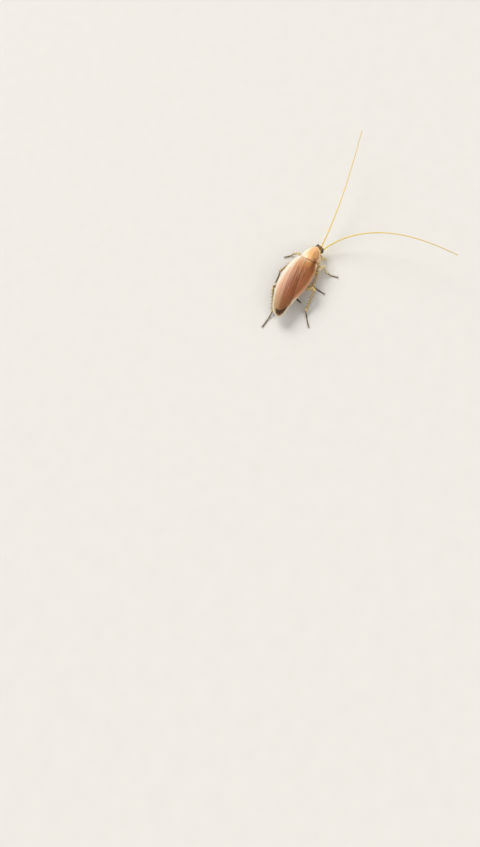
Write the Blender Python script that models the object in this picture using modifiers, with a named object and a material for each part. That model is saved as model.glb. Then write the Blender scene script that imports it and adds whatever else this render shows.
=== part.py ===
"""A winged cockroach at life size, standing still on the floor.

The animal's own frame is used while modelling: x runs forward from the wing tips to the head, y to
its left, z up from the soles of its feet. All sizes below are in millimetres. At the end one empty
moves the whole model so that the origin is under the middle of its box, on the floor.
"""

import math

import bmesh
import bpy
import numpy as np
from mathutils import Euler, Matrix, Vector

MM = 0.001
GAP = 0.30

# Closed wings: half width and middle line by station, and the arch of their backs
SHOULDER_X = 4.92
WING_TIP = -5.95
WING_THICKNESS = 0.50
UNDERSIDE_WIDTH = 0.92
WING_HALF_WIDTHS = (
    (-5.95, 0.25),
    (-5.80, 0.55),
    (-5.50, 0.83),
    (-4.90, 1.13),
    (-3.90, 1.42),
    (-2.90, 1.70),
    (-1.70, 2.00),
    (-0.40, 2.28),
    (1.00, 2.40),
    (2.80, 2.30),
    (4.20, 2.02),
    (4.92, 1.74),
)
WING_MIDDLES = (
    (-5.95, -0.35),
    (-4.90, -0.05),
    (-3.40, 0.18),
    (-1.50, 0.26),
    (1.50, 0.18),
    (5.20, 0.10),
)

# Front edge of the wings: it keeps the gap to the shield's curved and slightly turned rear edge
WING_FRONT = 4.35
WING_FRONT_CURVE = 0.35
WING_FRONT_SPAN = 1.2
WING_FRONT_POWER = 2.2
WING_FRONT_SLANT = -0.02
BACK_TOP = 3.10
BACK_TOP_X = 1.6
BACK_FALL = 0.0165
ARCH_POWER = 2.3
ARCH_LEAST = 0.25
ARCH_BY_WIDTH = 0.62
SEAM_FRONT_Y = 0.25
SEAM_SLOPE = 0.170
RIGHT_WING_END = -3.05
VEIN_HEIGHT = 0.11
LEFT_WING_STATIONS = 30
RIGHT_WING_STATIONS = 24
WING_LINES = 15
VEIN_LINES = (2, 5, 8, 11, 13)

# Pronotum, the shield over the front of the thorax
SHIELD_CENTRE = (6.19, -0.15)
SHIELD_LENGTH = 3.04
SHIELD_WIDTH = 2.74
SHIELD_TAPER = 0.49
SHIELD_CORNERS = 0.90
SHIELD_YAW = -1.9
SHIELD_TOP = 2.92
SHIELD_NOD = 0.35
SHIELD_NOD_CURVE = 0.27
SHIELD_ARCH = 0.75
SHIELD_ARCH_POWER = 2.4
SHIELD_THICKNESS = 0.50
SHIELD_RINGS = 6
SHIELD_SECTORS = 32

# Trunk below the wings
TRUNK_TOP_CLEAR = WING_THICKNESS + GAP + 0.08
THORAX_BELLY = 1.36
THORAX_MIDDLE = 0.05
THORAX_END_SHARE = 0.80
THORAX_END_STEP = 0.12
ABDOMEN_BELLY = 1.10
ABDOMEN_SEGMENTS = 7
ABDOMEN_FRONT = 1.42
ABDOMEN_REAR = -1.30
ABDOMEN_HALF_WIDTH = 1.36
ABDOMEN_SWELL = 0.20
ABDOMEN_TAPER = 0.60
ABDOMEN_RING_STEP = 1.2

# Blocks of the thorax: rear and front end, half width at each, and how far the top is lowered
THORAX_BLOCKS = {
    "prothorax": (5.45, 7.10, 0.86, 0.76, 0.0),
    "mesothorax": (3.30, 5.15, 1.62, 1.36, 0.28),
    "metathorax": (1.72, 3.00, 1.72, 1.72, 0.0),
}
PROTHORAX_TOP = 1.82
PROTHORAX_FALL = 0.12

# Cerci, the pair of tails: start and end of each
CERCUS_COURSES = {
    "left": ((-1.62, 0.72, 1.24), (-2.75, 1.05, 1.20)),
    "right": ((-1.40, -1.02, 1.20), (-1.80, -2.14, 1.06)),
}
CERCUS_RINGS = 8

# Head, turned to the right of the trunk
HEAD_CENTRE = (8.10, -0.42, 1.26)
HEAD_YAW = -22.0
HEAD_PITCH = 22.0
HEAD_HALF = (0.54, 0.84, 0.64)
EYE_HALF = (0.30, 0.27, 0.42)
EYE_PLACE = (0.08, 0.72, 0.18)
SOCKET_PLACE = (0.80, 0.35, 0.18)
SOCKET_MARGIN = 1.1 * GAP

# Mouthparts below the head: level below the top, half depth and half width of each section
MOUTH_SECTIONS = ((0.0, 0.20, 0.34), (0.08, 0.27, 0.42), (0.22, 0.25, 0.36), (0.32, 0.15, 0.22))
MOUTH_SIDES = 12
MOUTH_BACK = -0.05

# Palps in the head's own frame, left side, and how their thickness swells along them
PALP_JOINTS = (
    (-0.12, 0.94, -0.42),
    (-0.20, 1.28, -0.68),
    (0.10, 1.52, -0.70),
    (0.50, 1.66, -0.95),
)
PALP_SWELL = ((0.0, 0.70), (0.12, 0.96), (0.55, 0.92), (0.85, 1.04), (1.0, 0.66))
PALP_RADIUS = 0.25
PALP_STEPS = 8

# Feelers, about one and a half times as long as the body
FEELER_SCAPE = 0.62
FEELER_LENGTH = 21.0
FEELER_STEPS = 42
FEELER_CUTS = {"near": (0, 13), "middle": (13, 27), "tip": (27, 41)}
FEELER_RADIUS = 0.25
FEELER_TIP_RADIUS = 0.12
FEELER_TAPER_START = 0.66

# Yaw and pitch in degrees where each feeler leaves the head, and how far each turns along it
FEELER_COURSES = {
    "left": (0.0, 20.0, 13.5, -20.0),
    "right": (-33.0, 20.0, -62.0, -20.0),
}

# Thickness of the limbs, as radii
COXA_RADIUS = 0.40
HIP_RADIUS = 0.27
THIGH_START_RADIUS = 0.25
THIGH_END_RADIUS = 0.27
FEMUR_RADIUS = {"front": 0.31, "middle": 0.32, "hind": 0.36}
KNEE_RADIUS = 0.26
SHIN_START_RADIUS = 0.23
TIBIA_RADIUS = 0.25
ANKLE_RADIUS = 0.25
TARSUS_RADIUS = 0.25
TARSUS_JOINTS = (0.0, 0.36, 0.55, 0.70, 0.83, 1.0)
TARSUS_NECK = 0.80
SOLE_CENTRE = 0.19

# Spines of the tibiae: how many and how long; and the claws of the feet
SPINES = {"front": (4, 0.45), "middle": (6, 0.55), "hind": (9, 0.80)}
SPINE_RADIUS = 0.12
SPINE_ANGLES = (35, 145, 200, -20)
CLAW_RADIUS = 0.11
CLAW_REACH = 0.30
CLAW_SPREAD = 0.26

# Pose of each leg: where it leaves the thorax, hip, knee, ankle and tip of the foot on the floor
LEGS = {
    "front_left": (
        (6.70, 0.88, 0.83),
        (5.25, 1.22, 0.56),
        (5.95, 2.25, 1.45),
        (6.20, 3.10, 0.45),
        (5.20, 4.19),
    ),
    "front_right": (
        (6.58, -1.10, 0.83),
        (4.88, -1.60, 0.56),
        (5.51, -2.49, 1.50),
        (5.19, -3.36, 0.45),
        (5.46, -4.96),
    ),
    "middle_left": (
        (4.45, 0.90, 0.83),
        (3.50, 1.20, 0.56),
        (3.78, 2.52, 1.32),
        (2.26, 3.58, 0.45),
        (0.40, 3.37),
    ),
    "middle_right": (
        (4.50, -0.90, 0.83),
        (3.40, -1.15, 0.56),
        (4.35, -2.10, 1.10),
        (2.13, -2.33, 0.46),
        (1.81, -4.44),
    ),
    "hind_left": (
        (2.40, 0.90, 0.83),
        (1.15, 1.20, 0.56),
        (-1.35, 2.88, 1.32),
        (-4.99, 1.10, 0.45),
        (-7.69, 1.33),
    ),
    "hind_right": (
        (2.40, -0.90, 0.83),
        (0.90, -1.12, 0.52),
        (1.10, -3.25, 1.78),
        (-2.52, -3.48, 0.48),
        (-4.52, -5.02),
    ),
}

# Colours as linear red, green and blue, with roughness
COLOURS = {
    "wing": ((0.42, 0.20, 0.10), 0.30),
    "shield": ((0.55, 0.27, 0.09), 0.28),
    "skin": ((0.50, 0.26, 0.10), 0.40),
    "belly": ((0.40, 0.22, 0.10), 0.45),
    "face": ((0.62, 0.36, 0.14), 0.35),
    "eye": ((0.015, 0.008, 0.006), 0.12),
    "leg": ((0.55, 0.36, 0.12), 0.38),
    "foot": ((0.16, 0.11, 0.04), 0.45),
    "feeler": ((0.55, 0.38, 0.16), 0.45),
    "tail": ((0.10, 0.06, 0.03), 0.45),
}


def clear_scene():
    for obj in list(bpy.data.objects):
        bpy.data.objects.remove(obj)


def make_materials():
    made = {}
    for name, (colour, roughness) in COLOURS.items():
        material = bpy.data.materials.new(name)
        material.use_nodes = True
        shader = material.node_tree.nodes["Principled BSDF"]
        shader.inputs["Base Color"].default_value = (*colour, 1.0)
        shader.inputs["Roughness"].default_value = roughness
        shader.inputs["Metallic"].default_value = 0.0
        made[name] = material
    return made


def smooth_through(stations, x):
    """Value at x of a smooth curve through (position, value) stations in rising order."""
    xs = np.array([s[0] for s in stations])
    ys = np.array([s[1] for s in stations])
    slopes = np.gradient(ys, xs)
    x = np.clip(x, xs[0], xs[-1])
    i = np.clip(np.searchsorted(xs, x) - 1, 0, len(xs) - 2)
    step = xs[i + 1] - xs[i]
    t = (x - xs[i]) / step
    a = (1 + 2 * t) * (1 - t) ** 2 * ys[i] + t * (1 - t) ** 2 * step * slopes[i]
    b = t**2 * (3 - 2 * t) * ys[i + 1] + t**2 * (t - 1) * step * slopes[i + 1]
    return a + b


def smooth_course(points, steps):
    """Points at even steps along a smooth line through the given ones."""
    lengths = [0.0]
    for one, two in zip(points, points[1:]):
        lengths.append(lengths[-1] + (two - one).length)
    places = np.linspace(0.0, lengths[-1], steps + 1)
    axes = [smooth_through(list(zip(lengths, axis)), places) for axis in zip(*points)]
    return [Vector(point) for point in zip(*axes)]


def wing_edges(x):
    """Left and right outline of the closed wings at station x."""
    middle = smooth_through(WING_MIDDLES, x)
    half = smooth_through(WING_HALF_WIDTHS, x)
    return middle + half, middle - half


def seam(x):
    """The edge of the left wing, which laps over the right one and leaves the middle line to the rear."""
    return SEAM_FRONT_Y - SEAM_SLOPE * (SHOULDER_X - x)


def wing_front(y):
    """Station of the wings' front edge: hollowed in the middle, where the shield's rear edge lies."""
    away = min(abs(y - SHIELD_CENTRE[1]) / WING_FRONT_SPAN, 1.25)
    return WING_FRONT + WING_FRONT_CURVE * away**WING_FRONT_POWER + WING_FRONT_SLANT * y


def back_height(x, y):
    """Top of the closed wings: highest on the middle line, arched down to both edges and to the tail."""
    left, right = wing_edges(x)
    half = 0.5 * (left - right)
    across = np.abs(y - 0.5 * (left + right)) / half
    ridge = BACK_TOP - BACK_FALL * (x - BACK_TOP_X) ** 2
    drop = ARCH_LEAST + ARCH_BY_WIDTH * half / WING_HALF_WIDTHS[8][1]
    return ridge - drop * np.minimum(across, 1.25) ** ARCH_POWER


def bmesh_object(name, mesh, material, collection):
    """A new object from a bmesh in millimetres, with its faces pointing out."""
    bmesh.ops.scale(mesh, vec=(MM, MM, MM), verts=mesh.verts)
    bmesh.ops.recalc_face_normals(mesh, faces=mesh.faces)
    data = bpy.data.meshes.new(name)
    mesh.to_mesh(data)
    mesh.free()
    data.materials.append(material)
    data.shade_smooth()
    data.set_sharp_from_angle(angle=math.radians(40))
    obj = bpy.data.objects.new(name, data)
    collection.objects.link(obj)
    return obj


def mesh_from_evaluated(obj, name, collection):
    """The object as its modifiers or its curve leave it, as a plain mesh object in its place."""
    graph = bpy.context.evaluated_depsgraph_get()
    data = bpy.data.meshes.new_from_object(obj.evaluated_get(graph))
    data.name = name
    placed = bpy.data.objects.new(name, data)
    placed.matrix_world = obj.matrix_world.copy()
    for material in list(obj.data.materials):
        if data.materials.find(material.name) < 0:
            data.materials.append(material)
    bpy.data.objects.remove(obj)
    placed.name = name
    collection.objects.link(placed)
    return placed


def weld(obj, distance=0.00001):
    mesh = bmesh.new()
    mesh.from_mesh(obj.data)
    bmesh.ops.remove_doubles(mesh, verts=mesh.verts, dist=distance)
    bmesh.ops.recalc_face_normals(mesh, faces=mesh.faces)
    mesh.to_mesh(obj.data)
    mesh.free()


def drop_slivers(obj, shortest=0.00003):
    """Draws together the tiny edges that a cut leaves along its rim."""
    mesh = bmesh.new()
    mesh.from_mesh(obj.data)
    bmesh.ops.triangulate(mesh, faces=mesh.faces)
    bmesh.ops.dissolve_degenerate(mesh, edges=mesh.edges, dist=shortest)
    bmesh.ops.triangulate(mesh, faces=mesh.faces)
    mesh.to_mesh(obj.data)
    mesh.free()


def keep_largest_body(obj):
    """Drops loose scraps and sealed hollows that a union can leave."""
    mesh = bmesh.new()
    mesh.from_mesh(obj.data)
    left = set(mesh.verts)
    bodies = []
    while left:
        body = {left.pop()}
        front = list(body)
        while front:
            for edge in front.pop().link_edges:
                for vert in edge.verts:
                    if vert in left:
                        left.discard(vert)
                        body.add(vert)
                        front.append(vert)
        bodies.append(body)
    bodies.sort(key=len)
    scraps = [vert for body in bodies[:-1] for vert in body]
    bmesh.ops.delete(mesh, geom=scraps, context="VERTS")
    mesh.to_mesh(obj.data)
    mesh.free()


def tube(name, points, radii, material, collection, sides_step=2):
    """A round limb along points, with its radius given at each, closed by flat caps."""
    curve = bpy.data.curves.new(name, "CURVE")
    curve.dimensions = "3D"
    curve.bevel_depth = MM
    curve.bevel_resolution = sides_step
    curve.use_fill_caps = True
    spline = curve.splines.new("POLY")
    spline.points.add(len(points) - 1)
    for knot, place, radius in zip(spline.points, points, radii):
        knot.co = (*(Vector(place) * MM), 1.0)
        knot.radius = radius
    curve.materials.append(material)
    drawn = bpy.data.objects.new(name + "_curve", curve)
    collection.objects.link(drawn)
    obj = mesh_from_evaluated(drawn, name, collection)
    weld(obj)
    obj.data.shade_smooth()
    obj.data.set_sharp_from_angle(angle=math.radians(50))
    return obj


def limb(name, start, end, radii, material, collection, bow=(0, 0, 0), steps=7, sides_step=2):
    """A tapered length with rounded ends from start to end; radii are spread evenly along it."""
    start, end, bow = Vector(start), Vector(end), Vector(bow)
    length = (end - start).length
    spread = np.linspace(0.0, 1.0, len(radii))
    inner = [0.22 * radii[0], 0.75 * radii[0]]
    outer = [length - 0.75 * radii[-1], length - 0.22 * radii[-1]]
    places = [0.0, *inner, *np.linspace(inner[-1], outer[0], steps)[1:-1], *outer, length]
    round_off = [0.55, 0.84, *[1.0] * (len(places) - 4), 0.84, 0.55]
    points = []
    widths = []
    for place, shrink in zip(places, round_off):
        t = place / length
        points.append(start.lerp(end, t) + bow * math.sin(math.pi * t))
        widths.append(float(np.interp(t, spread, radii)) * shrink)
    return tube(name, points, widths, material, collection, sides_step)


def cone_between(name, root, tip, radius, material, collection, sides=5):
    """A spine or claw: a cone from its root to a fine tip."""
    root, tip = Vector(root), Vector(tip)
    mesh = bmesh.new()
    depth = (tip - root).length
    bmesh.ops.create_cone(
        mesh, cap_ends=True, segments=sides, radius1=radius, radius2=0.18 * radius, depth=depth
    )
    turn = (tip - root).to_track_quat("Z", "Y").to_matrix().to_4x4()
    bmesh.ops.transform(mesh, matrix=Matrix.Translation((root + tip) / 2) @ turn, verts=mesh.verts)
    return bmesh_object(name, mesh, material, collection)


def fuse(obj, pieces, collection):
    """Joins the pieces to the object, so that the node is one closed body."""
    group = bpy.data.collections.new(obj.name + "_pieces")
    bpy.context.scene.collection.children.link(group)
    for piece in pieces:
        group.objects.link(piece)
        collection.objects.unlink(piece)
    union = obj.modifiers.new("fuse", "BOOLEAN")
    union.operation = "UNION"
    union.operand_type = "COLLECTION"
    union.collection = group
    union.solver = "EXACT"
    bpy.context.view_layer.update()
    name = obj.name
    joined = mesh_from_evaluated(obj, name, collection)
    for piece in pieces:
        bpy.data.objects.remove(piece)
    bpy.data.collections.remove(group)
    keep_largest_body(joined)
    return joined


def cut(obj, cutter, collection):
    """Takes the cutter's space out of the object."""
    bite = obj.modifiers.new("cut", "BOOLEAN")
    bite.operation = "DIFFERENCE"
    bite.object = cutter
    bite.solver = "EXACT"
    bpy.context.view_layer.update()
    name = obj.name
    left = mesh_from_evaluated(obj, name, collection)
    bpy.data.objects.remove(cutter)
    keep_largest_body(left)
    drop_slivers(left)
    return left


def loft(name, rings, material, collection):
    """A closed body through rings of equal point counts, capped at both ends."""
    mesh = bmesh.new()
    loops = [[mesh.verts.new(point) for point in ring] for ring in rings]
    count = len(loops[0])
    for one, two in zip(loops, loops[1:]):
        for i in range(count):
            j = (i + 1) % count
            mesh.faces.new((one[i], one[j], two[j], two[i]))
    mesh.faces.new(loops[0])
    mesh.faces.new(loops[-1])
    bmesh.ops.triangulate(mesh, faces=mesh.faces)
    return bmesh_object(name, mesh, material, collection)


def shell(name, surface, rows, columns, underside, material, collection):
    """A curved plate: a grid whose corners lie on surface(i, j), drawn down to its underside."""
    mesh = bmesh.new()
    grid = [[mesh.verts.new(surface(i, j)) for j in range(columns + 1)] for i in range(rows + 1)]
    for i in range(rows):
        for j in range(columns):
            mesh.faces.new((grid[i][j], grid[i][j + 1], grid[i + 1][j + 1], grid[i + 1][j]))
    bmesh.ops.triangulate(mesh, faces=mesh.faces)
    drawn = bmesh.ops.extrude_face_region(mesh, geom=list(mesh.faces))
    for item in drawn["geom"]:
        if isinstance(item, bmesh.types.BMVert):
            item.co = underside(item.co)
    return bmesh_object(name, mesh, material, collection)


def thicken(name, mesh, thickness, material, collection):
    """Turns an open upper surface into a plate of one thickness below it."""
    bmesh.ops.recalc_face_normals(mesh, faces=mesh.faces)
    mesh.normal_update()
    if sum(face.normal.z for face in mesh.faces) < 0:
        bmesh.ops.reverse_faces(mesh, faces=mesh.faces)
    bmesh.ops.scale(mesh, vec=(MM, MM, MM), verts=mesh.verts)
    data = bpy.data.meshes.new(name)
    mesh.to_mesh(data)
    mesh.free()
    data.materials.append(material)
    data.shade_smooth()
    obj = bpy.data.objects.new(name, data)
    collection.objects.link(obj)
    solid = obj.modifiers.new("thickness", "SOLIDIFY")
    solid.thickness = thickness * MM
    solid.offset = -1.0
    return obj


def wing_across(x, v, left_wing):
    """Place across a wing at station x: v runs from its outer edge (0) to the seam (1)."""
    left, right = wing_edges(x)
    if left_wing:
        outer = left
        inner = max(seam(x) + GAP / 2, right)
    else:
        outer = right
        inner = seam(x) - GAP / 2
    return outer + (inner - outer) * v


def wing_point(u, line, left_wing):
    """A point of a wing's upper face: u runs from its base to its tip, line counts from its outer edge."""
    end = WING_TIP if left_wing else RIGHT_WING_END
    v = line / WING_LINES
    front = wing_front(wing_across(SHOULDER_X, v, left_wing))
    x = front + (end - front) * math.sin(0.5 * math.pi * u) ** 1.15
    y = wing_across(x, v, left_wing)
    z = back_height(x, y)
    if line in VEIN_LINES:
        z += VEIN_HEIGHT * math.sin(math.pi * min(1.0, 0.12 + u)) ** 0.4
    return x, y, z


def wing_underside(point):
    """The lower face: straight below, and drawn in towards the middle line so that the rim slants."""
    left, right = wing_edges(point.x)
    middle = 0.5 * (left + right)
    return point.x, middle + (point.y - middle) * UNDERSIDE_WIDTH, point.z - WING_THICKNESS


def make_wing(side, materials, collection):
    left_wing = side == "left"
    stations = LEFT_WING_STATIONS if left_wing else RIGHT_WING_STATIONS
    name = "tegmen_" + side

    def surface(i, j):
        return wing_point(i / stations, j, left_wing)

    return shell(name, surface, stations, WING_LINES, wing_underside, materials["wing"], collection)


def shield_point(radius, angle):
    """A point of the pronotum's upper face, from its centre (radius 0) to its edge (radius 1)."""
    c, s = math.cos(angle), math.sin(angle)
    forward = radius * c
    across = radius * math.copysign(abs(s) ** SHIELD_CORNERS, s) * (1.0 - SHIELD_TAPER * c)
    x = 0.5 * SHIELD_LENGTH * forward
    y = 0.5 * SHIELD_WIDTH * across
    z = SHIELD_TOP - SHIELD_ARCH * abs(across) ** SHIELD_ARCH_POWER
    z -= SHIELD_NOD * forward + SHIELD_NOD_CURVE * forward**2
    turned = Matrix.Rotation(math.radians(SHIELD_YAW), 3, "Z") @ Vector((x, y, 0))
    return SHIELD_CENTRE[0] + turned.x, SHIELD_CENTRE[1] + turned.y, z


def make_shield(materials, collection):
    mesh = bmesh.new()
    centre = mesh.verts.new(shield_point(0.0, 0.0))
    angles = [2 * math.pi * j / SHIELD_SECTORS for j in range(SHIELD_SECTORS)]
    loops = []
    for i in range(1, SHIELD_RINGS + 1):
        radius = math.sin(0.5 * math.pi * i / SHIELD_RINGS) ** 0.9
        loops.append([mesh.verts.new(shield_point(radius, angle)) for angle in angles])
    for j in range(SHIELD_SECTORS):
        mesh.faces.new((centre, loops[0][j], loops[0][(j + 1) % SHIELD_SECTORS]))
    for one, two in zip(loops, loops[1:]):
        for j in range(SHIELD_SECTORS):
            k = (j + 1) % SHIELD_SECTORS
            mesh.faces.new((one[j], two[j], two[k], one[k]))
    bmesh.ops.triangulate(mesh, faces=mesh.faces)
    return thicken("pronotum", mesh, SHIELD_THICKNESS, materials["shield"], collection)


def trunk_ring(x, half_width, belly, top, middle=0.0, sides=20):
    """A section of the trunk: flat below, arched above."""
    ring = []
    for k in range(sides):
        angle = 2 * math.pi * k / sides
        c, s = math.cos(angle), math.sin(angle)
        y = middle + half_width * math.copysign(abs(c) ** 0.75, c)
        level = belly + 0.42 * (top - belly)
        if s > 0:
            z = level + (top - level) * s
        else:
            z = level - (level - belly) * abs(s) ** 0.6
        if x < SHOULDER_X:
            z = min(z, back_height(x, y) - TRUNK_TOP_CLEAR)
        ring.append((x, y, z))
    return ring


def make_thorax(materials, collection):
    """Three blocks of the thorax, each narrower towards its ends."""
    for name, (rear, front, rear_half, front_half, lowered) in THORAX_BLOCKS.items():
        rings = []
        for t in (0.0, 0.12, 0.5, 0.88, 1.0):
            x = rear + (front - rear) * t
            half = rear_half + (front_half - rear_half) * t
            belly = THORAX_BELLY
            if name == "prothorax":
                top = PROTHORAX_TOP - PROTHORAX_FALL * (x - rear)
            else:
                top = back_height(min(x, SHOULDER_X), THORAX_MIDDLE) - TRUNK_TOP_CLEAR - lowered
            if t in (0.0, 1.0):
                half *= THORAX_END_SHARE
                belly += 0.5 * THORAX_END_STEP
                top -= THORAX_END_STEP
            rings.append(trunk_ring(x, half, belly, top, THORAX_MIDDLE))
        loft(name, rings, materials["skin"], collection)


def make_abdomen(materials, collection):
    """A flat body of overlapping rings that narrows to the plate between the cerci."""
    rings = []
    for k in range(ABDOMEN_SEGMENTS):
        for t, swell in ((0.04, 0.955), (0.55, 0.99), (0.96, 1.0)):
            along = (k + t) / ABDOMEN_SEGMENTS
            x = ABDOMEN_FRONT + (ABDOMEN_REAR - ABDOMEN_FRONT) * along
            half = ABDOMEN_HALF_WIDTH + ABDOMEN_SWELL * math.sin(math.pi * min(1.0, 1.3 * along))
            half *= (1 - ABDOMEN_TAPER * along**3.2) * swell
            step = (1 - swell) * ABDOMEN_RING_STEP
            top = back_height(x, 0.1) - TRUNK_TOP_CLEAR - 0.60 * along**3 - step
            belly = ABDOMEN_BELLY + 0.05 * along**3 + step
            rings.append(trunk_ring(x, half, belly, top, 0.10))
    loft("abdomen", rings, materials["belly"], collection)


def make_cerci(materials, collection):
    """A pair of dark spindles, ringed, pointing out and back from the end of the abdomen."""
    for side, (start, end) in CERCUS_COURSES.items():
        start, end = Vector(start), Vector(end)
        steps = 2 * CERCUS_RINGS
        points = [start.lerp(end, k / steps) for k in range(steps + 1)]
        radii = []
        for k in range(steps + 1):
            t = k / steps
            spindle = 0.17 + 0.10 * math.sin(math.pi * min(1.0, 0.15 + 0.85 * t)) - 0.09 * t**2
            radii.append(spindle * (0.90 if k % 2 == 0 else 1.0))
        tube("cercus_" + side, points, radii, materials["tail"], collection)


def head_matrix():
    turn = Euler((0.0, math.radians(HEAD_PITCH), math.radians(HEAD_YAW))).to_matrix().to_4x4()
    return Matrix.Translation(HEAD_CENTRE) @ turn


def egg(name, half, centre, shape, material, collection, segments=14, rings=10):
    """An ellipsoid in the head's frame, bent by shape(x, y, z) on the unit sphere."""
    mesh = bmesh.new()
    bmesh.ops.create_uvsphere(mesh, u_segments=segments, v_segments=rings, radius=1.0)
    for vert in mesh.verts:
        place = shape(*vert.co)
        vert.co = Vector(place[k] * half[k] + centre[k] for k in range(3))
    bmesh.ops.triangulate(mesh, faces=mesh.faces)
    bmesh.ops.transform(mesh, matrix=head_matrix(), verts=mesh.verts)
    return bmesh_object(name, mesh, material, collection)


def head_shape(x, y, z):
    """Wide at the eyes, narrower and flatter towards the mouth, with a hollow cheek."""
    narrow = 1.0 - 0.34 * max(0.0, -z) ** 1.5
    return x * (1.0 + 0.10 * z), y * narrow, z


def eye_shape(x, y, z):
    """A kidney: its front edge is drawn in beside the feeler."""
    return x - 0.28 * (1 - z * z), y, z


def make_head(materials, collection):
    head = egg("head", HEAD_HALF, (0, 0, 0), head_shape, materials["face"], collection, 22, 14)
    wide = [size + SOCKET_MARGIN for size in EYE_HALF]
    for side, sign in (("left", 1), ("right", -1)):
        place = (EYE_PLACE[0], sign * EYE_PLACE[1], EYE_PLACE[2])
        egg("eye_" + side, EYE_HALF, place, eye_shape, materials["eye"], collection)
        socket = egg("socket_" + side, wide, place, eye_shape, materials["eye"], collection)
        head = cut(head, socket, collection)


def make_mouth(materials, collection):
    """A closed block of mouthparts below the head, and a bent palp on each side of it."""
    in_head = head_matrix()
    top = -HEAD_HALF[2] - GAP
    angles = [2 * math.pi * k / MOUTH_SIDES for k in range(MOUTH_SIDES)]
    rings = []
    for level, deep, wide in MOUTH_SECTIONS:
        ring = []
        for angle in angles:
            place = Vector((MOUTH_BACK + deep * math.cos(angle), wide * math.sin(angle), top - level))
            ring.append(in_head @ place)
        rings.append(ring)
    loft("mouthparts", rings, materials["face"], collection)
    for side, sign in (("left", 1), ("right", -1)):
        joints = [in_head @ Vector((x, sign * y, z)) for x, y, z in PALP_JOINTS]
        points = smooth_course(joints, PALP_STEPS)
        swell = np.interp(np.linspace(0, 1, len(points)), *zip(*PALP_SWELL))
        radii = [PALP_RADIUS * float(share) for share in swell]
        tube("palp_" + side, points, radii, materials["feeler"], collection, 1)


def feeler_path(start, yaw, pitch, yaw_turn, pitch_turn, length, steps):
    """Points of a feeler that leaves start at yaw and pitch degrees and turns evenly along its length."""
    points = [Vector(start)]
    for k in range(steps):
        t = (k + 0.5) / steps
        heading = math.radians(yaw + yaw_turn * (1 - (1 - t) ** 2))
        rise = math.radians(pitch + pitch_turn * t)
        level = math.cos(rise)
        step = Vector((level * math.cos(heading), level * math.sin(heading), math.sin(rise)))
        points.append(points[-1] + step * (length / steps))
    return points


def make_feelers(materials, collection):
    """Each feeler: a thick base joint, then three lengths of the whip, parted by narrow gaps."""
    for side, course in FEELER_COURSES.items():
        sign = 1 if side == "left" else -1
        socket = head_matrix() @ Vector((SOCKET_PLACE[0], sign * SOCKET_PLACE[1], SOCKET_PLACE[2]))
        path = feeler_path(socket, *course, FEELER_LENGTH + FEELER_SCAPE, FEELER_STEPS)
        step = (path[1] - path[0]).length
        scape_end = socket.lerp(path[1], min(1.0, FEELER_SCAPE / step))
        base = f"antenna_{side}_base"
        limb(base, socket, scape_end, (0.24, 0.29, 0.25), materials["feeler"], collection, steps=4)
        whip = path[1:]
        for part, (first, last) in FEELER_CUTS.items():
            points = [point.copy() for point in whip[first : last + 1]]
            from_start = GAP if part == "near" else GAP / 2
            points[0] = points[0].lerp(points[1], from_start / step)
            if part != "tip":
                points[-1] = points[-1].lerp(points[-2], GAP / 2 / step)
            radii = []
            for i in range(len(points)):
                t = (first + i) / (len(whip) - 1)
                taper = max(0.0, t - FEELER_TAPER_START) / (1 - FEELER_TAPER_START)
                radii.append(FEELER_RADIUS + (FEELER_TIP_RADIUS - FEELER_RADIUS) * taper)
            tube(f"antenna_{side}_{part}", points, radii, materials["feeler"], collection, 1)


def clear_start(reached, leaving, radius, own_radius):
    """How far from a joint the next length starts, so that it keeps the gap even where it folds back."""
    fold = math.pi - reached.angle(leaving)
    straight = radius + GAP
    if fold > math.pi / 2:
        return straight
    return max(straight, (radius + 0.6 * own_radius + 0.8 * GAP) / math.sin(fold))


def spine_roots(start, end, count, length, radius):
    """Root and tip of each spine on a tibia: alternately on its two sides and below, leaning to the foot."""
    axis = (end - start).normalized()
    side = axis.cross(Vector((0, 0, 1))).normalized()
    up = side.cross(axis)
    spines = []
    for k in range(count):
        t = 0.14 + 0.70 * (k + 0.5) / count
        around = math.radians(SPINE_ANGLES[k % len(SPINE_ANGLES)] + 8 * math.sin(3.1 * k))
        out = side * math.cos(around) + up * math.sin(around)
        root = start.lerp(end, t) + out * (radius - 0.12)
        reach = length * (0.85 + 0.15 * math.sin(1.7 * k))
        tip = root + (out * 0.80 + axis * 0.60).normalized() * reach
        spines.append((root, tip))
    return spines


def flatten_sole(obj):
    """Presses what reaches below the floor flat onto it."""
    for vert in obj.data.vertices:
        if vert.co.z < 0.05 * MM:
            vert.co.z = 0.0


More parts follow.
